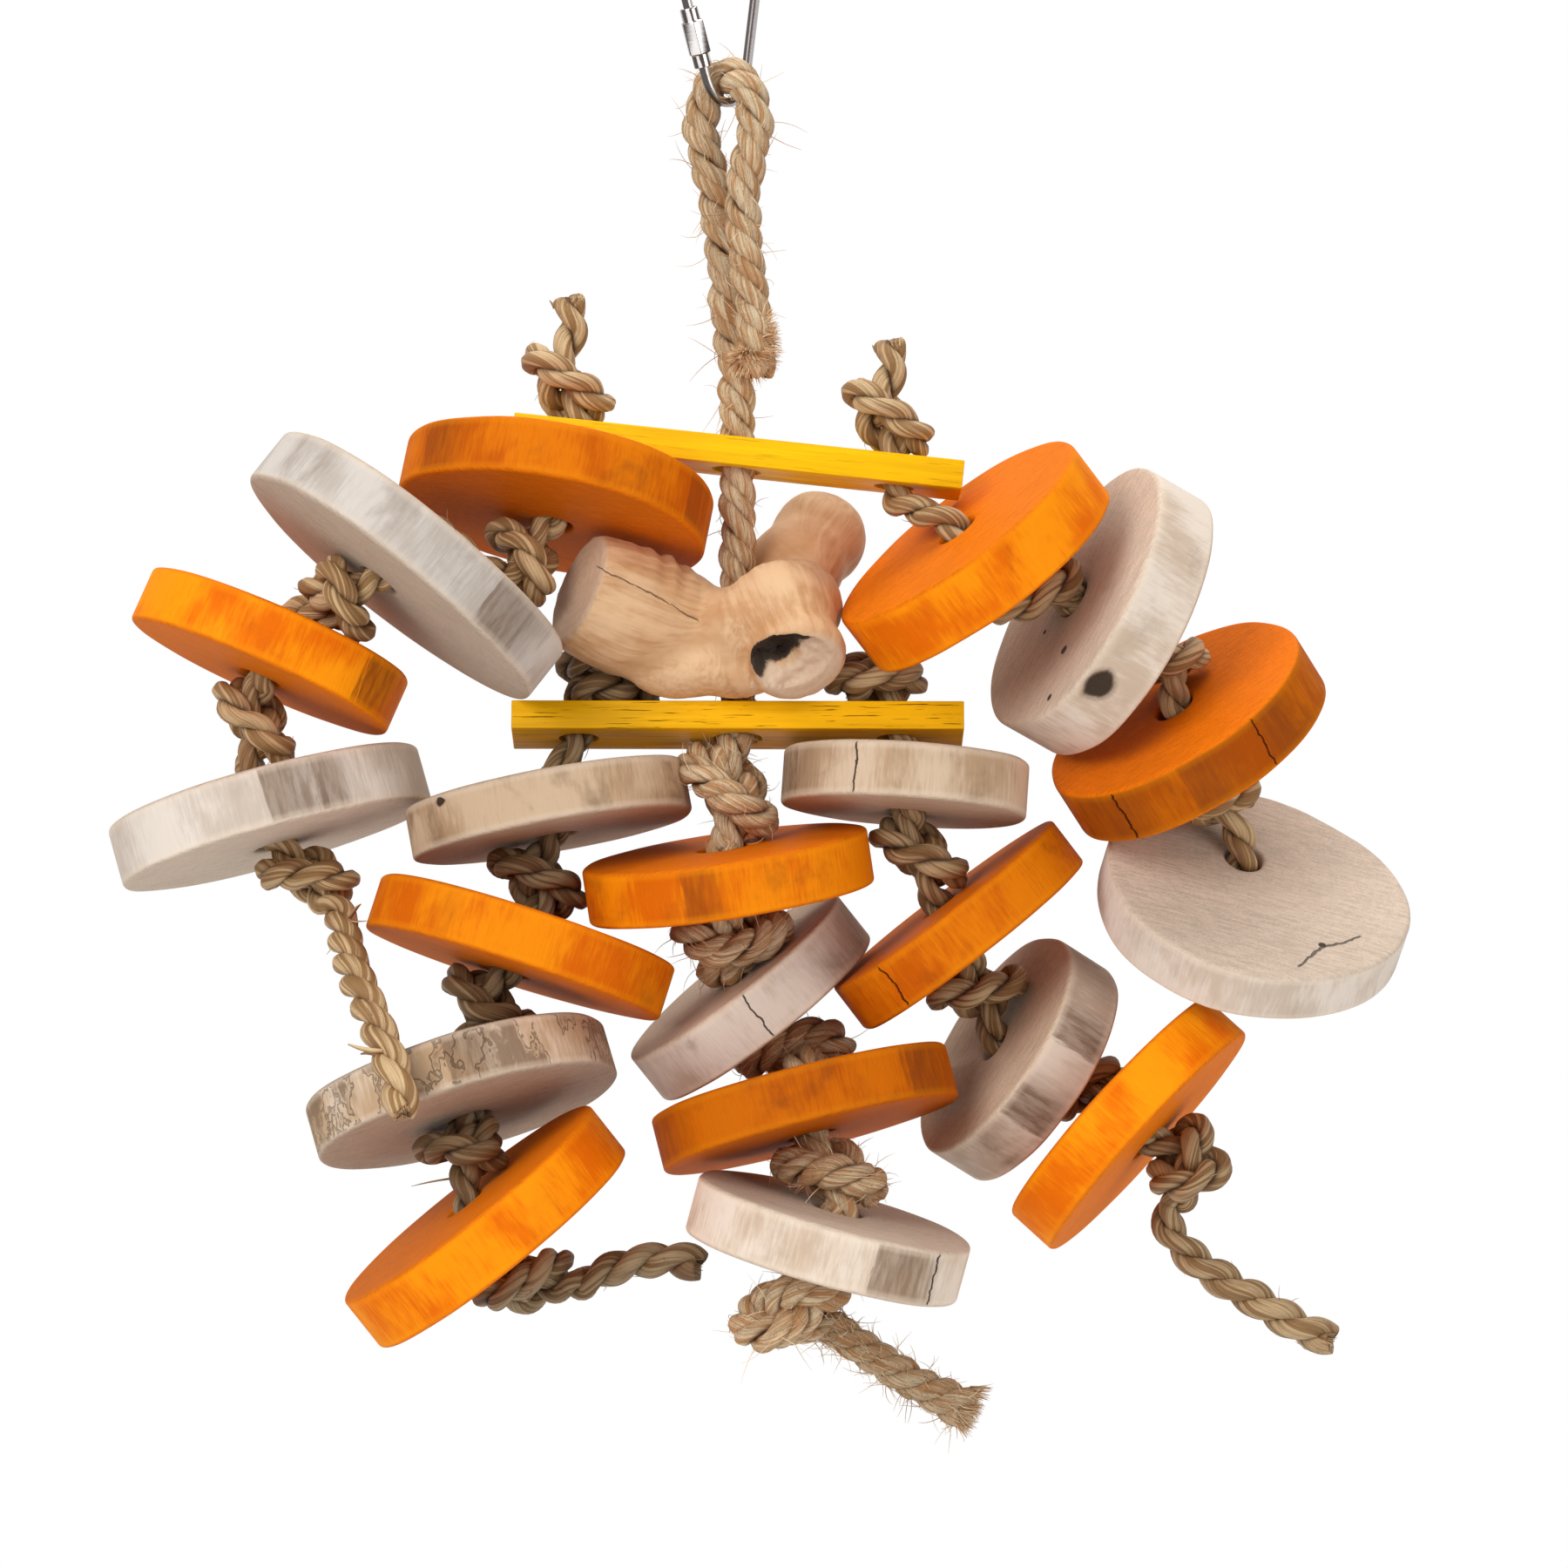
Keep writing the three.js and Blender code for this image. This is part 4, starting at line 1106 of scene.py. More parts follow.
def slice_finish(name, colours, seed):
    """Wood of a branch slice: streaks along the rim, growth rings and saw marks on its two faces."""
    look = SLICE_LOOKS[name]
    tone = look["tone"]
    warmth = look.get("warmth", 1.0)
    # shade and face darken a slice's rim and faces: its own tone on most slices, painted shade on some
    shade = look.get("shade", 1.0)
    streaked = between(warmth, scaled(0.8, colours.cool), colours.streak)
    rim_pale = scaled(shade, between(0.75 * tone, between(warmth, colours.cool, colours.rim), streaked))
    rim_deep = scaled(shade, between(0.5 * tone, streaked, colours.deep))
    face_pale = scaled(look.get("face", shade), between(0.5 * tone, colours.face, colours.streak))
    face_dark = scaled(0.74, face_pale)
    finish = Finish(name)
    own = finish.attribute("own_place")
    facing = finish.attribute("face", "Fac")
    face = finish.ramp(facing, 0.35, 0.9)
    rim = 1 - face
    place = finish.shifted(own, seed * 131.0, seed * 57.0, seed * 23.0)
    streak = finish.grain(place, 0.9, 0.9, 0.11, 5, 0.66)
    broad = finish.grain(place, 0.045, 0.045, 0.035, 3)
    blotch = finish.ramp(finish.grain(place, 0.055, 0.055, 0.05, 4, 0.6, 0.4), 0.52, 0.72)
    fleck = finish.grain(place, 1.8, 1.8, 0.25, 2)
    rim_colour = finish.mix(finish.ramp(broad * 0.7 + streak * 0.3, 0.39, 0.58), rim_deep, rim_pale)
    rim_colour = finish.mix(finish.ramp(fleck, 0.62, 0.78) * 0.35, rim_colour, rim_deep)
    rim_colour = finish.mix(blotch * 0.55 * (0.2 + tone), rim_colour, colours.stain)
    x, y, _ = finish.parts(own)
    warp = finish.grain(place, 0.05, 0.05, 0.05, 2) * 9
    pith = finish.distance(x - 6.0 + (seed % 5) * 3.0, y + 4.0 - (seed % 3) * 4.0)
    rings = ((pith + warp) * 1.9).sine() * 0.5 + 0.5
    saw = finish.grain(place, 0.16, 1.5, 0.1, 3)
    pore = finish.noise(place, 1.4, 3, 0.7)
    face_shade = finish.ramp(rings * 0.025 + saw * 0.52 + pore * 0.455, 0.34, 0.62)
    face_colour = finish.mix(face_shade, face_dark, face_pale)
    face_colour = finish.mix(blotch * 0.4, face_colour, face_dark)
    stain, split = slice_marks(finish, look, own, rim)
    colour = finish.mix(face, rim_colour, face_colour)
    colour = finish.mix(stain * (0.5 + broad * 0.6), colour, colours.stain)
    edge = finish.ramp(abs(facing - 0.5), 0.5, 0.1) * 0.3
    colour = finish.mix(edge, colour, scaled(shade, colours.rim))
    colour = finish.mix(split * 0.92, colour, scaled(0.14, colours.stain))
    relief = streak * rim * 0.6 + (saw * 0.5 + pore * 0.4) * face - split * 1.5
    return finish.surface(colour, 0.5 + pore * 0.25, finish.bump(relief, 0.5), Specular_IOR_Level=0.06)


def slat_finish(name, colour, pore_colour, open_pores):
    """Dyed wood with grain along the slat and open pores."""
    finish = Finish(name)
    place = finish.attribute("own_place")
    grain = finish.grain(place, 0.02, 0.7, 0.7, 4, 0.6)
    wide = finish.grain(place, 0.012, 0.14, 0.14, 2)
    pores = finish.grain(place, 0.06, 2.1, 2.1, 3, 0.6)
    shade = finish.mix(finish.ramp(grain * 0.6 + wide * 0.4, 0.34, 0.6), scaled(0.78, colour), colour)
    open_share = finish.ramp(pores, 0.62, 0.7) * open_pores
    shade = finish.mix(open_share, shade, pore_colour)
    normal = finish.bump(grain * 0.35 - open_share, 0.3)
    return finish.surface(shade, 0.42 + grain * 0.2, normal, Specular_IOR_Level=0.12)


# The crack along the front of the knuckle's trunk, by its place to the right and up
KNUCKLE_CRACK = ((-33.0, -192.0), (-22.0, -197.5), (-12.0, -202.5), (-4.0, -207.5))


def knuckle_finish(wood):
    """Sanded branch wood with grain along the limbs, dark cracks and a rotten hollow."""
    finish = Finish("bare_branch")
    grain_place = finish.attribute("grain")
    rot, cut, even = (finish.attribute(name, "Fac") for name in ("rot", "cut", "even"))
    place = finish.stretched(finish.coordinates("Object"), 1 / MM, 1 / MM, 1 / MM)
    grain = (finish.grain(grain_place, 0.6, 0.6, 0.03, 5, 0.62) - 0.5) * even + 0.5
    broad = finish.grain(place, 0.06, 0.06, 0.09, 3)
    blotch = finish.noise(place, 0.04, 2, 0.5)
    wander = finish.noise(place, 0.12, 3) - 0.5
    crumb = finish.noise(place, 0.4, 4, 0.7)
    across, up, _ = finish.parts(grain_place)
    rings = ((finish.distance(across, up) + blotch * 8) * 2.1).sine() * 0.5 + 0.5
    shade = finish.ramp(grain * 0.45 + broad * 0.55, 0.34, 0.6)
    colour = finish.mix(shade, wood.bare_deep, wood.bare)
    colour = finish.mix(finish.ramp(blotch, 0.56, 0.76) * 0.3, colour, wood.bare_deep)
    end = finish.mix(rings * 0.1 + grain * 0.2 + crumb * 0.5 + 0.12, wood.bare_deep, wood.bare_end)
    colour = finish.mix(cut * 0.9, colour, end)
    x, y, z = finish.parts(place)
    front = finish.fall(y, -6.0, -2.0)
    crack = rot * 0.0
    for start, last in zip(KNUCKLE_CRACK, KNUCKLE_CRACK[1:]):
        crack = crack.larger(finish.line_mark(x, z, start, last, 0.24, wander * 4) * front)
    hollow = finish.ramp(rot + (crumb - 0.5) * 0.5, 0.36, 0.56)
    colour = finish.mix(hollow * 0.97, colour, wood.bare_rot)
    colour = finish.mix(crack * 0.6, colour, wood.bare_rot)
    normal = finish.bump(grain * 0.4 + crumb * cut * 0.5 - crack + crumb * rot * 2, 0.6)
    return finish.surface(colour, 0.45 + grain * 0.2, normal, Specular_IOR_Level=0.2)


def steel_finish(name, reflection_stripes, reflected_dark, reflected_bright):
    """Polished steel with fine turning marks and painted reflections: darker stripes round it, set by the
    way each point faces.
    """
    finish = Finish(name)
    side, depth, _ = finish.parts(finish.coordinates("Normal"))
    marks = finish.grain(finish.coordinates("Object"), 400, 400, 2600, 3)
    # Painted reflection: light and dark stripes by the way the surface faces, standing in for the studio
    # round the steel
    painted_reflection_bands = (side * reflection_stripes + depth * reflection_stripes / 3).sine() * 0.5 + 0.5
    shade = finish.ramp(painted_reflection_bands * 0.75 + marks * 0.25, 0.3, 0.7)
    colour = finish.mix(shade, reflected_dark, reflected_bright)
    return finish.surface(colour, 0.14 + marks * 0.1, finish.bump(marks, 0.02), Metallic=1.0)


def add_tail(rope, split, body, slot, material, tuft):
    """The free tail of a rope, with its loose fibres."""
    strands = rope.mesh(f"{body}_tail_strands", split, len(rope.line))
    tail = add_piece(strands, material, body, slot, f"{body}_tail")
    fibres = add_piece(tuft, material, body, slot)


class PARROT_OT_main_rope(bpy.types.Operator):
    """Lays the main sisal rope with its eye, knots, frayed ends and stray fibres"""

    bl_idname = "parrot.main_rope"
    bl_label = "Main rope"

    SEED = 11
    HAIR_LENGTH = 12
    TAIL_HAIR_LENGTH = 9
    CUT = Brush(count=130, length=5.4, flare=0.9, width=0.42)
    FRAY = Brush(count=110, length=6, flare=0.5, width=0.42)
    FRAY_RADIUS = 1.25
    # How much wider the rope gets over its first and its last millimetres
    START_FLARE = 0.22
    START_RUN = 12
    END_FLARE = 0.26
    END_RUN = 14
    WORN_SHADE = 0.8

    def execute(self, context):
        ropes = context.scene.parrot_ropes
        kind = RopeKind(3, ropes.sisal_diameter / MM, ropes.sisal_lay / MM, sides=18, unevenness=0.2)
        line, tail_length = main_line(kind.diameter)
        along, split = tail_split(line, tail_length)
        rope = LaidRope(line, kind, self.girth(along), split)
        sisal = sisal_finish("sisal", 1.0, ropes)
        chance = np.random.default_rng(self.SEED)
        add_piece(rope.mesh("main_rope_strands", 0, split + 1), sisal, "main_rope", "sisal", "main_rope")
        tuft = Tuft()
        tuft.add_hairs(rope, 0, split, ropes.sisal_hairs, self.HAIR_LENGTH, chance)
        for place, way, radius in CUT_BRUSHES:
            tuft.add_brush(hung(place), way, radius, self.CUT, chance)
        add_piece(tuft.mesh("main_rope_hairs"), sisal, "main_rope", "sisal")
        frayed = Tuft()
        frayed.add_hairs(rope, split, len(line), ropes.sisal_hairs // 3, self.TAIL_HAIR_LENGTH, chance)
        for end in rope.strand_ends(-1):
            radius = kind.strand_radius * self.FRAY_RADIUS
            frayed.add_brush(end, line[-1] - line[-4], radius, self.FRAY, chance)
        worn = sisal_finish("worn_sisal", self.WORN_SHADE, ropes)
        add_tail(rope, split, "main_rope", "sisal", worn, frayed.mesh("main_rope_tail_hairs"))
        return {"FINISHED"}

    def girth(self, along):
        """How wide the rope is at each place, next to its plain width."""
        end = np.clip((along - along[-1] + self.END_RUN) / self.END_RUN, 0, 1)
        start = np.clip((self.START_RUN - along) / self.START_RUN, 0, 1)
        return (1 + self.END_FLARE * end ** 1.5) * (1 + self.START_FLARE * start)


class PARROT_OT_arm_ropes(bpy.types.Operator):
    """Lays the four seagrass ropes of the arms with their knots, cut ends and leaf tips"""

    bl_idname = "parrot.arm_ropes"
    bl_label = "Arm ropes"

    FIRST_SEED = 40
    HAIR_LENGTH = 5
    LEAF_THICKNESS = 0.5
    LEAF_TIPS = Brush(count=26, length=2.6, flare=0.3, width=1.1)
    TIPS_RADIUS = 0.95
    # How much wider a tail gets, and over how many millimetres
    TAIL_SWELL = 0.16
    TAIL_SWELL_RUN = 30

    def execute(self, context):
        ropes = context.scene.parrot_ropes
        diameter, lay = ropes.seagrass_diameter / MM, ropes.seagrass_lay / MM
        kind = RopeKind(2, diameter, lay, sides=20, unevenness=0.12)
        for number, arm in enumerate(SIDE_ARMS):
            self.lay(arm, kind, ropes, np.random.default_rng(self.FIRST_SEED + number))
        return {"FINISHED"}

    def lay(self, arm, kind, ropes, chance):
        """One arm's rope."""
        body = f"{arm}_rope"
        material = seagrass_finish(arm, ropes)
        line, tail_length = arm_line(arm, kind.diameter)
        along, split = tail_split(line, tail_length)
        girth = 1 + self.TAIL_SWELL * np.clip((along - along[split]) / self.TAIL_SWELL_RUN, 0, 1)
        rope = LaidRope(line, kind, girth, split)
        add_piece(rope.mesh(f"{body}_strands", 0, split + 1), material, body, "seagrass", body)
        tips = Tuft()
        tips.add_hairs(rope, 0, split, ropes.seagrass_hairs, self.HAIR_LENGTH, chance)
        self.cut_end(tips, rope, 0, line[0] - line[3], chance)
        self.loose_leaves(tips, rope, arm, chance)
        ends = tips if tail_length == 0 else Tuft()
        self.cut_end(ends, rope, -1, line[-1] - line[-4], chance)
        add_piece(tips.mesh(f"{body}_tips"), material, body, "seagrass")
        if tail_length > 0:
            ends.add_hairs(rope, split, len(line), ropes.seagrass_hairs // 4, self.HAIR_LENGTH, chance)
            add_tail(rope, split, body, "seagrass", material, ends.mesh(f"{body}_tail_tips"))

    def cut_end(self, tips, rope, step, way, chance):
        """Leaf tips standing out of a cut end."""
        for end in rope.strand_ends(step):
            tips.add_brush(end, way, rope.kind.strand_radius * self.TIPS_RADIUS, self.LEAF_TIPS, chance)

    def loose_leaves(self, tips, rope, arm, chance):
        """The single leaves that stand out of an arm's rope."""
        for owner, place, way, length, width in LOOSE_LEAVES:
            if owner == arm:
                root = rope.nearest(hung(place))
                droop = chance.normal(0, 0.5, 3)
                tone = chance.uniform(0, HAIR_TONES)
                tips.add(root, way, droop, length, width, self.LEAF_THICKNESS, tone)


def pick(piece):
    """Selects one object alone and makes it the active one."""
    bpy.ops.object.select_all(action="DESELECT")
    piece.select_set(True)
    bpy.context.view_layer.objects.active = piece


def add_primitive(add, **settings):
    """A new primitive, selected alone."""
    bpy.ops.object.select_all(action="DESELECT")
    add(**settings)
    return bpy.context.object


@contextlib.contextmanager
def editing(piece):
    """Edit mode with all of a piece selected."""
    pick(piece)
    bpy.ops.object.mode_set(mode="EDIT")
    bpy.ops.mesh.select_all(action="SELECT")
    yield
    bpy.ops.object.mode_set(mode="OBJECT")


def modify(piece, kind, **settings):
    """Applies a modifier with these settings to a piece."""
    pick(piece)
    modifier = piece.modifiers.new(kind.lower(), kind)
    for name, value in settings.items():
        setattr(modifier, name, value)
    bpy.ops.object.modifier_apply(modifier=modifier.name)


def round_edges(piece, width, sharp, shaded):
    """Rounds edges that are sharper than one angle and shades those below another as smooth, in degrees."""
    modify(piece, "BEVEL", width=width, segments=3, limit_method="ANGLE", angle_limit=math.radians(sharp))
    bpy.ops.object.shade_smooth_by_angle(angle=math.radians(shaded))


def drill(piece, radius, depth, place):
    """A hole straight down through a piece."""
    cylinder = {"vertices": 48, "radius": radius * MM, "depth": depth * MM, "location": place}
    tool = add_primitive(bpy.ops.mesh.primitive_cylinder_add, **cylinder)
    modify(piece, "BOOLEAN", operation="DIFFERENCE", solver="EXACT", object=tool)
    bpy.data.objects.remove(tool)


def divide_edges(piece, cuts, wanted):
    """Divides the edges of a piece whose run is wanted, and no others."""
    mesh = piece.data
    mesh.vertices.foreach_set("select", [False] * len(mesh.vertices))
    mesh.edges.foreach_set("select", [False] * len(mesh.edges))
    for edge in mesh.edges:
        start, end = (mesh.vertices[i] for i in edge.vertices)
        if wanted(end.co - start.co):
            edge.select = True
            start.select = True
            end.select = True
    bpy.ops.object.mode_set(mode="EDIT")
    bpy.ops.mesh.subdivide(number_cuts=cuts)
    bpy.ops.object.mode_set(mode="OBJECT")


def merged_copy(node):
    """A selected copy of a CAD node with its loose faces joined."""
    copy = bpy.data.objects.new(f"{node}_copy", frame["nodes"][node].data.copy())
    bpy.context.scene.collection.objects.link(copy)
    with editing(copy):
        bpy.ops.mesh.remove_doubles(threshold=0.001 * MM)
    return copy


class PARROT_OT_slices(bpy.types.Operator):
    """Cuts the twenty branch slices, ten dyed orange and ten bare"""

    bl_idname = "parrot.slices"
    bl_label = "Branch slices"

    BLANK_OUTER = 44.0
    BLANK_DEPTH = 16.0
    HOLE_RADII = {"main": 7.0, "arm": 5.7}
    EDGE_STEPS = 5
    FACE_CUTS = 17
    RIM_CUTS = 7
    SPIN_STEPS = 144
    # Over how many degrees an outline is evened out, and the slice whose outline stays sharp
    EVENED = 17
    SHARP_EVENED = 5
    SHARP_SLICE = "upper_right_disc_4"
    LEAST_RIM = 15
    # Swells of the rim, by how many there are round it, and how far all of it keeps inside its solid, so
    # that turning slices clear their neighbours
    WAVES = (4, 5, 7, 9, 12)
    WAVE_HEIGHT = 0.9
    RIM_ROOM = 0.65
    # How near to a sawn face its look begins, and how fast it takes over
    FACE_START = 2.2
    FACE_RUN = 2.0

    def execute(self, context):
        wood = context.scene.parrot_wood
        colours = {
            "orange_wood": SliceColours(
                wood.orange, wood.orange, wood.orange_deep, wood.orange_dark, wood.orange_brown,
                wood.orange_face,
            ),
            "natural_wood": SliceColours(
                wood.natural, wood.natural_grey, wood.natural_deep, wood.natural_dark, wood.natural_brown,
                wood.natural_face,
            ),
        }
        for kind, hole in self.HOLE_RADII.items():
            blank = self.model(hole, wood.slice_edge / MM)
            for arm in ["main"] if kind == "main" else SIDE_ARMS:
                for name, slot in self.slots(arm).items():
                    self.cut(blank.data, name, hole, slot, colours[slot])
            bpy.data.objects.remove(blank)
        return {"FINISHED"}

    def slots(self, arm):
        """An arm's slices with their wood: the kinds take turns, and a lower arm starts with a bare one."""
        kinds = ["orange_wood", "natural_wood"]
        if arm.startswith("lower"):
            kinds.reverse()
        return {f"{arm}_disc_{n + 1}": kinds[n % 2] for n in range(SLICES_ON_ARM)}

    def model(self, hole, edge):
        """A round blank with a hole and rounded edges, spun from its cross-section. Its axis is Z."""
        blank = add_primitive(bpy.ops.mesh.primitive_plane_add, size=1)
        with editing(blank):
            bpy.ops.transform.resize(value=((self.BLANK_OUTER - hole) * MM, self.BLANK_DEPTH * MM, 1))
            bpy.ops.transform.translate(value=((self.BLANK_OUTER + hole) / 2 * MM, 0, 0))
            bpy.ops.mesh.bevel(affect="VERTICES", offset=edge * MM, segments=self.EDGE_STEPS)
            bpy.ops.mesh.delete(type="ONLY_FACE")
        divide_edges(blank, self.FACE_CUTS, lambda run: abs(run[0]) > 4 * edge * MM)
        divide_edges(blank, self.RIM_CUTS, lambda run: abs(run[1]) > 2 * edge * MM)
        with editing(blank):
            bpy.ops.mesh.spin(steps=self.SPIN_STEPS, angle=FULL_TURN, center=(0, 0, 0), axis=(0, 1, 0))
            bpy.ops.mesh.select_all(action="SELECT")
            bpy.ops.mesh.remove_doubles(threshold=0.02 * MM)
            bpy.ops.mesh.normals_make_consistent(inside=False)
        blank.data.transform(Matrix.Rotation(math.pi / 2, 4, "X"))
        return blank

    def outline(self, name, hole, deep):
        """How far the rim of a slice lies from its hole, for each degree."""
        corners = node_points(name) - hole.middle
        x, y, z = corners @ hole.wide, corners @ deep, corners @ hole.way
        across = np.hypot(x, y)
        rim = (across > self.LEAST_RIM) & (np.abs(z) < hole.depth / 2 - 0.5)
        angle = np.degrees(np.arctan2(y[rim], x[rim])) % 360
        order = np.argsort(angle)
        reach = np.interp(np.arange(360), angle[order], across[rim][order], period=360)
        evened = self.SHARP_EVENED if name == self.SHARP_SLICE else self.EVENED
        window = np.hanning(evened + 2)[1:-1]
        padded = np.concatenate([reach[-evened:], reach, reach[:evened]])
        return np.convolve(padded, window / window.sum(), mode="same")[evened:-evened]

    def wobble(self, angle, seed):
        """Small swells and hollows of a branch's outline, in millimetres."""
        chance = np.random.default_rng(seed)
        wobble = np.zeros_like(angle)
        for waves in self.WAVES:
            wobble += self.WAVE_HEIGHT / waves * np.sin(waves * angle + chance.uniform(0, FULL_TURN))
        return wobble - self.RIM_ROOM

    def cut(self, blank, name, hole_radius, slot, colours):
        """One slice from a copy of the blank."""
        seed = sum(map(ord, name)) % 97
        hole = slice_hole(name)
        deep = np.cross(hole.way, hole.wide)
        outline = self.outline(name, hole, deep)
        mesh = blank.copy()
        mesh.name = f"{name}_wood"
        points = mesh_points(mesh)
        angle = np.arctan2(points[:, 1], points[:, 0])
        across = np.hypot(points[:, 0], points[:, 1])
        rim = np.interp(np.degrees(angle) % 360, np.arange(361), np.append(outline, outline[0]))
        rim = rim + self.wobble(angle, seed)
        share = (across - hole_radius) / (self.BLANK_OUTER - hole_radius)
        reach = hole_radius + share * (rim - hole_radius)
        height = points[:, 2] * hole.depth / self.BLANK_DEPTH
        own = np.column_stack([reach * np.cos(angle), reach * np.sin(angle), height])
        face = (np.abs(height) - hole.depth / 2 + self.FACE_START) / self.FACE_RUN
        keep(mesh, "own_place", own)
        keep(mesh, "face", np.clip(face, 0, 1))
        move_points(mesh, hole.middle + own @ np.stack([hole.wide, deep, hole.way]))
        mesh.shade_smooth()
        add_piece(mesh, slice_finish(name, colours, seed), name, slot, name)


class PARROT_OT_slats(bpy.types.Operator):
    """Shapes the two dyed slats with their three holes"""

    bl_idname = "parrot.slats"
    bl_label = "Slats"

    LENGTH = 129.2
    WIDTH = 24.0
    THICKNESS = 8.2
    HOLES = ((-45.5, 5.7), (0.0, 7.0), (45.5, 5.7))
    # How open the pores of each slat are, and how far apart their grain lies
    UPPER_PORES = 0.25
    LOWER_PORES = 0.85
    GRAIN_SHIFT = 300

    def execute(self, context):
        wood = context.scene.parrot_wood
        blank = self.model(wood.slat_edge)
        upper = slat_finish("yellow_slat", wood.yellow, wood.slat_pore, self.UPPER_PORES)
        lower = slat_finish("mustard_slat", wood.mustard, wood.slat_pore, self.LOWER_PORES)
        self.place(blank.data, "upper_slat", upper, 0)
        self.place(blank.data, "lower_slat", lower, self.GRAIN_SHIFT)
        bpy.data.objects.remove(blank)
        return {"FINISHED"}

    def model(self, edge):
        """A bar with drilled holes and rounded edges at the origin."""
        bar = add_primitive(bpy.ops.mesh.primitive_cube_add, size=1)
        with editing(bar):
            bpy.ops.transform.resize(value=(self.LENGTH * MM, self.WIDTH * MM, self.THICKNESS * MM))
        for place, radius in self.HOLES:
            drill(bar, radius, 3 * self.THICKNESS, (place * MM, 0, 0))
        round_edges(bar, edge, sharp=50, shaded=40)
        return bar

    def place(self, blank, name, material, grain_shift):
        """One slat from a copy of the bar."""
        slat = Slat(name)
        mesh = blank.copy()
        mesh.name = f"{name}_wood"
        points = mesh_points(mesh)
        keep(mesh, "own_place", points + grain_shift)
        move_points(mesh, slat.middle + points @ np.stack([slat.along, slat.across, slat.up]))
        add_piece(mesh, material, name, "yellow_wood", name)


class Limb:
    """A limb of the knuckle, from its end to its foot, in millimetres from the joint it turns on."""

    def __init__(self, end, foot, sawn):
        base = joint_place("knuckle_turn")
        self.end = base + end
        self.sawn = sawn
        self.way = unit(base + foot - self.end)
        self.across = unit(np.cross(self.way, (0.1, 1.0, 0.2)))
        self.up = np.cross(self.way, self.across)

    def places(self, points):
        """Points by their place across the limb, up it and along it."""
        offset = points - self.end
        return np.stack([offset @ self.across, offset @ self.up, offset @ self.way], axis=1)


def noise_at(places):
    """Smooth noise at each place."""
    return np.array([noise.noise(Vector(place)) for place in places])


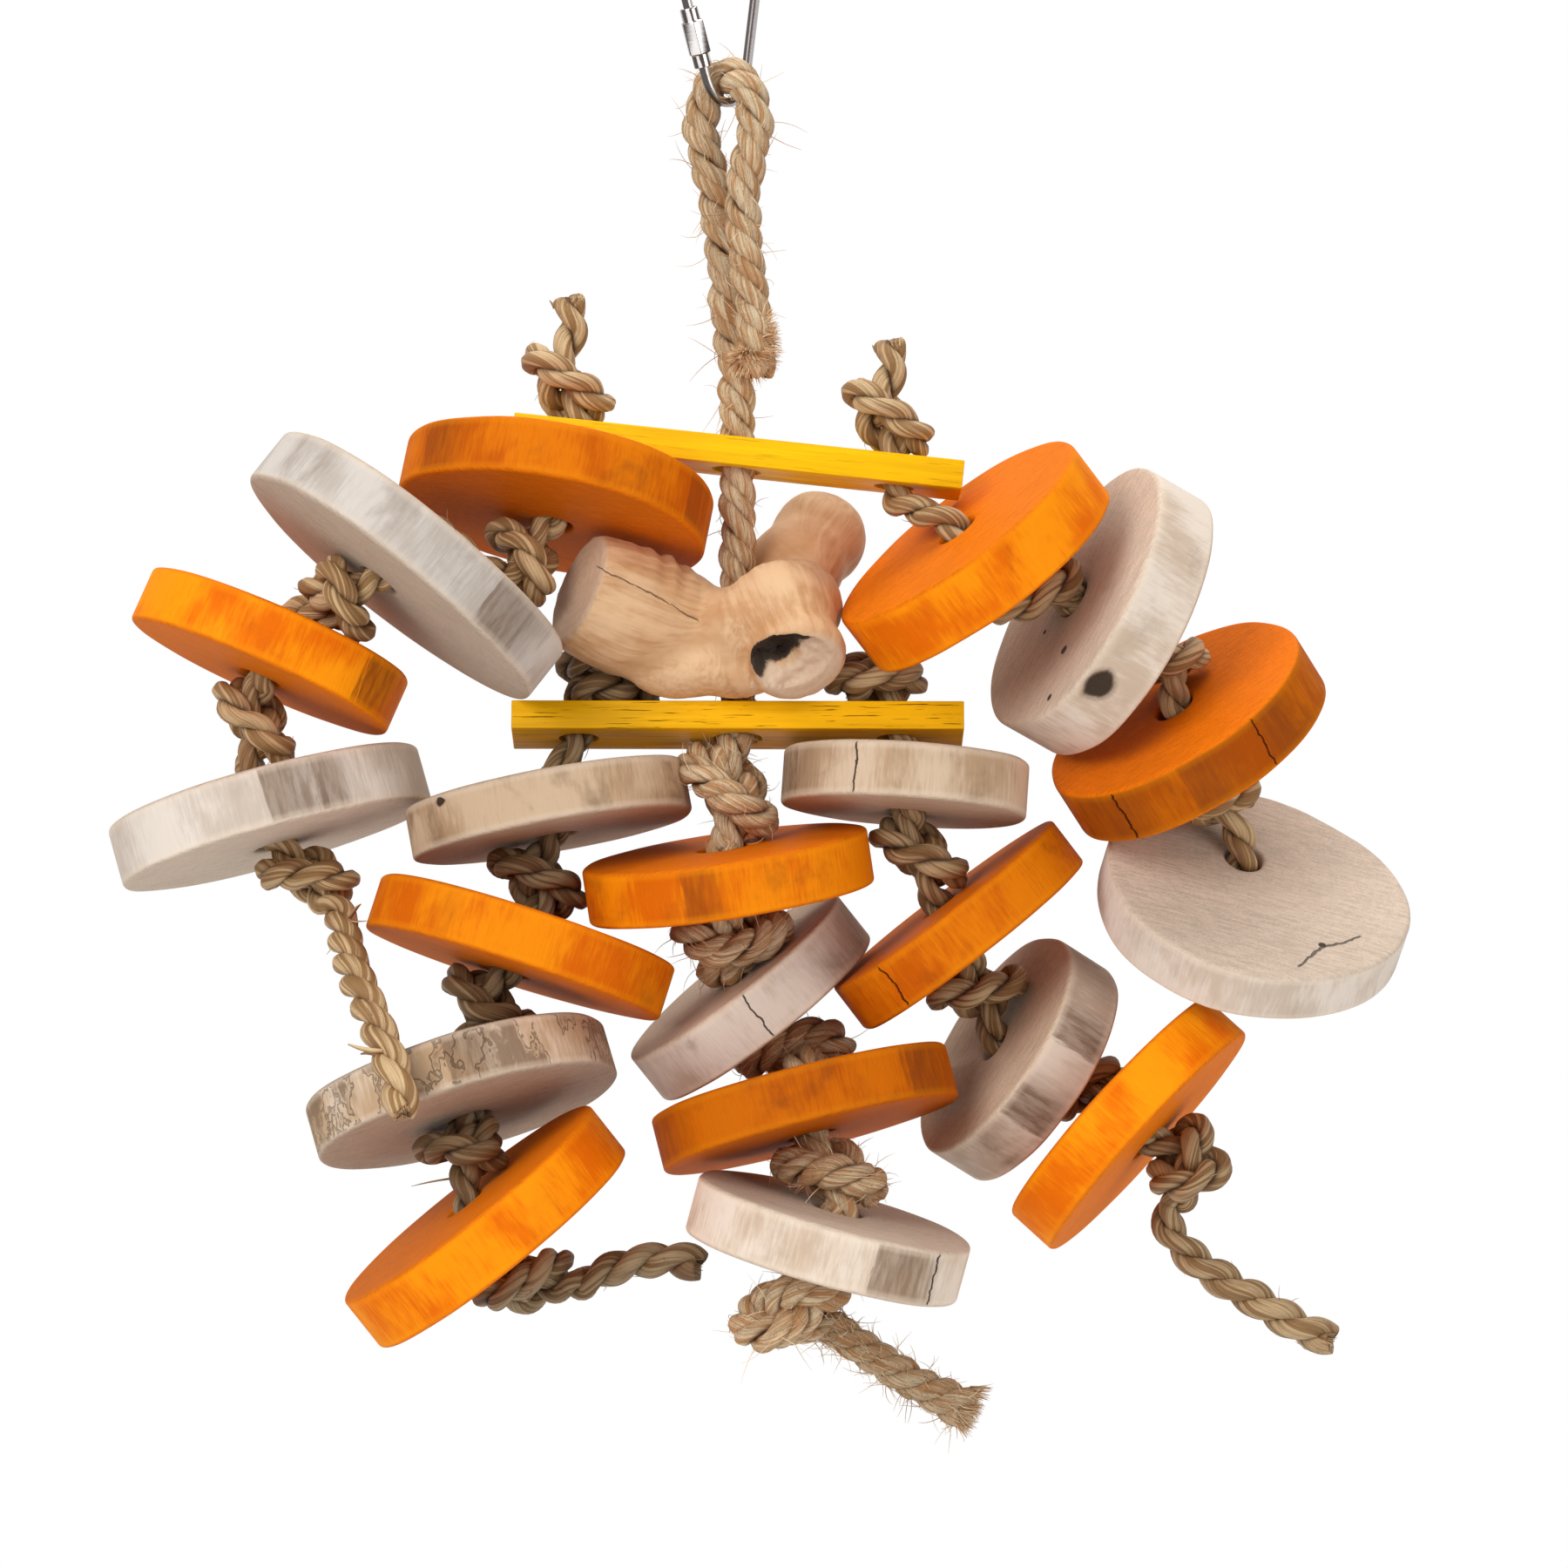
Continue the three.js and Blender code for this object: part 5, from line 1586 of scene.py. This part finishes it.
class PARROT_OT_knuckle(bpy.types.Operator):
    """Carves the branch knuckle with its sawn ends, crack and rotten hollow"""

    bl_idname = "parrot.knuckle"
    bl_label = "Branch knuckle"

    VOXEL = 0.9
    SMOOTHING = 22
    FORK_SMOOTHING = 70
    BORE_RADIUS = 7.0
    BORE_DEPTH = 120
    BORE_RISE = 20
    # Where the limbs flow into each other and swell: place and radii in the toy's frame
    SWELLS = (
        ((-21, -9, -211), (20, 14, 12)),
        ((-8, -9, -221), (17, 10, 8.4)),
        ((5, -11, -221.2), (15, 11, 8.2)),
        ((7, -10, -210), (15, 14, 13)),
        ((24, 0, -203), (13, 14, 14)),
        ((30, 29, -182.7), (14.2, 13.5, 14.4)),
    )
    HOLLOW = (22.0, -27.0, -218.6)
    HOLLOW_RADII = (11.5, 10, 9)
    # Folds on top of the trunk: their middle along it, how far they reach and how high they stand
    FOLDS_MIDDLE = 21
    FOLDS_REACH = 13
    FOLD_HEIGHT = 0.9
    STUB_REACH = 20

    def execute(self, context):
        limbs = [
            Limb((-45.5, -14, 34.7), (-10, 0, 19.9), sawn=True),
            Limb((27, 30, 54.4), (0, 4, 20.4), sawn=False),
            Limb((18.3, -24, 12.1), (9.6, -4.3, 32.8), sawn=True),
        ]
        mesh = finished(self.blank(limbs), "knuckle_wood")
        points = mesh_points(mesh)
        normals = point_vectors(mesh, "normal")
        grain, cut, even = self.grain(points, normals, limbs)
        lift = self.relief(points, normals, grain, cut, even, limbs)
        carved, rot = self.hollow(points + normals * lift[:, None], limbs[2].way)
        move_points(mesh, carved)
        keep(mesh, "grain", grain)
        for name, numbers in (("cut", cut), ("even", even), ("rot", rot)):
            keep(mesh, name, numbers)
        mesh.shade_smooth()
        add_piece(mesh, knuckle_finish(context.scene.parrot_wood), "knuckle", "bare_wood", "knuckle")
        return {"FINISHED"}

    def blank(self, limbs):
        """The knuckle's solid with swells where its limbs meet, in fine faces, drilled for the rope."""
        copy = merged_copy("knuckle")
        for place, radii in self.SWELLS:
            middle, scale = np.array(place) * MM, np.array(radii) * MM
            bpy.ops.mesh.primitive_uv_sphere_add(
                segments=48, ring_count=24, radius=1, location=middle, scale=scale,
            )
            copy.select_set(True)
            bpy.context.view_layer.objects.active = copy
            bpy.ops.object.join()
        modify(copy, "REMESH", mode="VOXEL", voxel_size=self.VOXEL * MM)
        modify(copy, "SMOOTH", factor=0.5, iterations=self.SMOOTHING)
        self.smooth_fork(copy, limbs)
        x, y, z = JOINTS["knuckle_turn"]["pos_m"]
        drill(copy, self.BORE_RADIUS, self.BORE_DEPTH, (x, y, z + self.BORE_RISE * MM))
        return copy

    def smooth_fork(self, piece, limbs):
        """Lets the limbs flow into each other where they meet."""
        _, even = self.shares(mesh_points(piece.data), limbs)
        fork = piece.vertex_groups.new(name="fork")
        for point, share in enumerate(even):
            fork.add([point], 1 - share, "REPLACE")
        modify(piece, "SMOOTH", factor=0.5, iterations=self.FORK_SMOOTHING, vertex_group=fork.name)

    def shares(self, points, limbs):
        """How far each point belongs to each limb, and how much it belongs to one limb alone."""
        shares = []
        for limb in limbs:
            across, up, along = limb.places(points).T
            far = np.hypot(across, up) + np.clip(-along, 0, None)
            shares.append(np.exp(-2 * ((far - 8) / 9) ** 2) + 1e-9)
        shares /= np.sum(shares, axis=0)
        return shares, np.clip((shares.max(axis=0) - 0.6) / 0.35, 0, 1)

    def grain(self, points, normals, limbs):
        """Each point's place in its limb's grain, if it is on a sawn end, and how even its grain is."""
        shares, even = self.shares(points, limbs)
        grain = np.zeros_like(points)
        cut = np.zeros(len(points))
        for limb, share in zip(limbs, shares):
            place = limb.places(points)
            grain += share[:, None] * place
            if limb.sawn:
                facing = np.clip(-(normals @ limb.way) * 2.5 - 1.2, 0, 1)
                cut = np.maximum(cut, facing * (place[:, 2] < 4))
        return grain, cut, even

    def relief(self, points, normals, grain, cut, even, limbs):
        """How far each point stands proud: grain, folds on top of the trunk and a ring on the stub."""
        rough = noise_at(grain * (0.09, 0.09, 0.03))
        ridge = noise_at(grain * (0.34, 0.34, 0.02) + (9, 0, 0))
        lift = (0.6 * rough + 0.2 * ridge) * (1 - 0.85 * cut) * even ** 2
        along_trunk = limbs[0].places(points)[:, 2]
        near_folds = np.clip(1 - np.abs(along_trunk - self.FOLDS_MIDDLE) / self.FOLDS_REACH, 0, 1)
        folds = np.clip(normals[:, 2], 0, 1) * near_folds
        lift += self.FOLD_HEIGHT * np.sin(along_trunk * 0.95) * folds
        across, up, along_stub = limbs[2].places(points).T
        ring = 1.4 * np.exp(-((along_stub - 3) / 3.5) ** 2) - 0.8 * np.exp(-((along_stub - 10) / 3) ** 2)
        lift += ring * (np.hypot(across, up) < self.STUB_REACH)
        bore = np.hypot(points[:, 0] - joint_place("knuckle_turn")[0], points[:, 1])
        return lift * np.clip((bore - self.BORE_RADIUS - 0.5) / 5, 0, 1)

    def hollow(self, points, inward):
        """Points pushed in where the stub has rotted away, and how rotten the wood is there."""
        radii = np.array(self.HOLLOW_RADII)
        spot = (points - self.HOLLOW) / radii
        way = inward / radii
        inside = (spot ** 2).sum(axis=1)
        a = way @ way
        b = spot @ way
        reach = (-b + np.sqrt(np.clip(b ** 2 - a * (inside - 1), 0, None))) / a
        depth = np.where(inside < 1, reach, 0.0) * (0.72 + 0.5 * noise_at(points * 0.28))
        plug = np.clip((spot[:, 0] - spot[:, 2] + 0.3) * 1.4, 0, 1)
        depth *= 1 - 0.7 * plug
        rot = np.clip(depth / 2.5, 0, 1) * (1 - plug)
        return points + np.clip(depth, 0, None)[:, None] * inward, rot


class PARROT_OT_link(bpy.types.Operator):
    """Polishes the steel link and its nut"""

    bl_idname = "parrot.link"
    bl_label = "Steel link"

    # How many painted reflection stripes run round the rod and round the nut
    ROD_REFLECTION_STRIPES = 2.2
    NUT_REFLECTION_STRIPES = 9
    # What the rod swells by, to make up for the rounding of its facets
    SWELL = 0.1
    NUT_EDGE = 0.35

    def execute(self, context):
        # The dark and bright colours of each steel are the two sides of its painted reflection stripes
        rod_steel = steel_finish("rod_steel", self.ROD_REFLECTION_STRIPES, dye(92, 86, 84), dye(176, 170, 168))
        nut_steel = steel_finish("nut_steel", self.NUT_REFLECTION_STRIPES, dye(84, 76, 72), dye(236, 232, 230))
        rod = self.squared_copy("link_frame")
        modify(rod, "SUBSURF", levels=2, render_levels=2)
        modify(rod, "DISPLACE", strength=self.SWELL * MM, mid_level=0)
        rod.data.shade_smooth()
        add_piece(finished(rod, "link_frame_steel"), rod_steel, "link_frame", "steel", "link_frame")
        nut = self.squared_copy("link_nut")
        round_edges(nut, self.NUT_EDGE * MM, sharp=35, shaded=35)
        add_piece(finished(nut, "link_nut_steel"), nut_steel, "link_nut", "steel", "link_nut")
        return {"FINISHED"}

    def squared_copy(self, node):
        """A copy of a CAD node with its triangles joined into quads."""
        copy = merged_copy(node)
        with editing(copy):
            bpy.ops.mesh.tris_convert_to_quads(face_threshold=0.3, shape_threshold=0.9)
        return copy


class PARROT_OT_stage(bpy.types.Operator):
    """Sets the camera, the lamps, the white surround and the floor"""

    bl_idname = "parrot.stage"
    bl_label = "Stage"

    SENSOR = 36.0
    LOOK_AT = Vector((0.01, 0.0, -0.25))
    WHITE = (1, 1, 1, 1)
    FLOOR_COLOUR = (0.86, 0.86, 0.86)

    def execute(self, context):
        settings = context.scene.parrot_stage
        self.camera(context, settings)
        self.lamp(context, "key", (-1.1, -1.7, 0.9), 1.3, settings.key_power)
        self.lamp(context, "fill", (1.5, -1.3, 0.1), 1.2, settings.fill_power)
        self.lamp(context, "top", (0.1, 0.2, 1.5), 1.4, settings.top_power)
        self.surround(context, settings)
        self.floor(settings)
        context.scene.view_settings.view_transform = "Standard"
        return {"FINISHED"}

    def camera(self, context, settings):
        """A camera square in front of the toy."""
        data = bpy.data.cameras.new("camera")
        data.sensor_width = self.SENSOR
        data.lens = self.SENSOR * settings.camera_distance / settings.view_width
        camera = bpy.data.objects.new("camera", data)
        camera.location = (settings.camera_side, -settings.camera_distance, -settings.camera_height)
        camera.rotation_euler = (math.pi / 2, 0, 0)
        context.scene.collection.objects.link(camera)
        context.scene.camera = camera

    def lamp(self, context, name, place, size, power):
        """A square soft lamp that looks at the middle of the toy."""
        data = bpy.data.lights.new(name, "AREA")
        data.size = size
        data.energy = power
        lamp = bpy.data.objects.new(name, data)
        lamp.location = self.LOOK_AT + Vector(place)
        lamp.rotation_euler = (self.LOOK_AT - lamp.location).to_track_quat("-Z", "Y").to_euler()
        context.scene.collection.objects.link(lamp)

    def surround(self, context, settings):
        """Soft light from all round, seen as plain white by the camera and by polished steel."""
        world = bpy.data.worlds.new("surround")
        world.use_nodes = True
        nodes = Nodes(world.node_tree)
        nodes.tree.nodes.clear()
        rays = ("Is Camera Ray", "Is Glossy Ray", "Is Transmission Ray")
        camera, glossy, clear = (nodes.node("ShaderNodeLightPath", {}, {}, ray) for ray in rays)
        light = nodes.node("ShaderNodeBackground", {}, {"Color": self.WHITE, "Strength": settings.sky})
        white = nodes.node("ShaderNodeBackground", {}, {"Color": self.WHITE, "Strength": 1.0})
        seen = camera.larger(glossy).larger(clear)
        mixed = nodes.node("ShaderNodeMixShader", {}, [seen, light, white])
        nodes.node("ShaderNodeOutputWorld", {}, {"Surface": mixed})
        context.scene.world = world

    def floor(self, settings):
        """A plain pale floor below the toy."""
        place = (0, 0, -settings.floor_drop)
        floor = add_primitive(bpy.ops.mesh.primitive_plane_add, size=settings.floor_size, location=place)
        floor.name = "floor"
        floor.data.materials.append(Finish("pale_floor").surface(self.FLOOR_COLOUR, 0.9))


class PARROT_PT_panel(bpy.types.Panel):
    """Buttons that build the toy piece by piece"""

    bl_idname = "PARROT_PT_panel"
    bl_label = "Parrot Toy"
    bl_space_type = "VIEW_3D"
    bl_region_type = "UI"
    bl_category = "Parrot Toy"

    def draw(self, context):
        for operator in OPERATORS:
            self.layout.operator(operator.bl_idname)


OPERATORS = [
    PARROT_OT_stage, PARROT_OT_main_rope, PARROT_OT_arm_ropes, PARROT_OT_slices, PARROT_OT_slats,
    PARROT_OT_knuckle, PARROT_OT_link,
]
SETTINGS = {"parrot_ropes": RopeSettings, "parrot_wood": WoodSettings, "parrot_stage": StageSettings}
CLASSES = [*SETTINGS.values(), *OPERATORS, PARROT_PT_panel]


def register():
    for item in CLASSES:
        bpy.utils.register_class(item)
    for name, group in SETTINGS.items():
        setattr(bpy.types.Scene, name, PointerProperty(type=group))


def unregister():
    for name in SETTINGS:
        delattr(bpy.types.Scene, name)
    for item in reversed(CLASSES):
        bpy.utils.unregister_class(item)


def main():
    """Builds the toy."""
    register()
    bpy.ops.parrot.stage()
    bpy.ops.parrot.main_rope()
    bpy.ops.parrot.arm_ropes()
    bpy.ops.parrot.slices()
    bpy.ops.parrot.slats()
    bpy.ops.parrot.knuckle()
    bpy.ops.parrot.link()


if __name__ == "__main__":
    main()
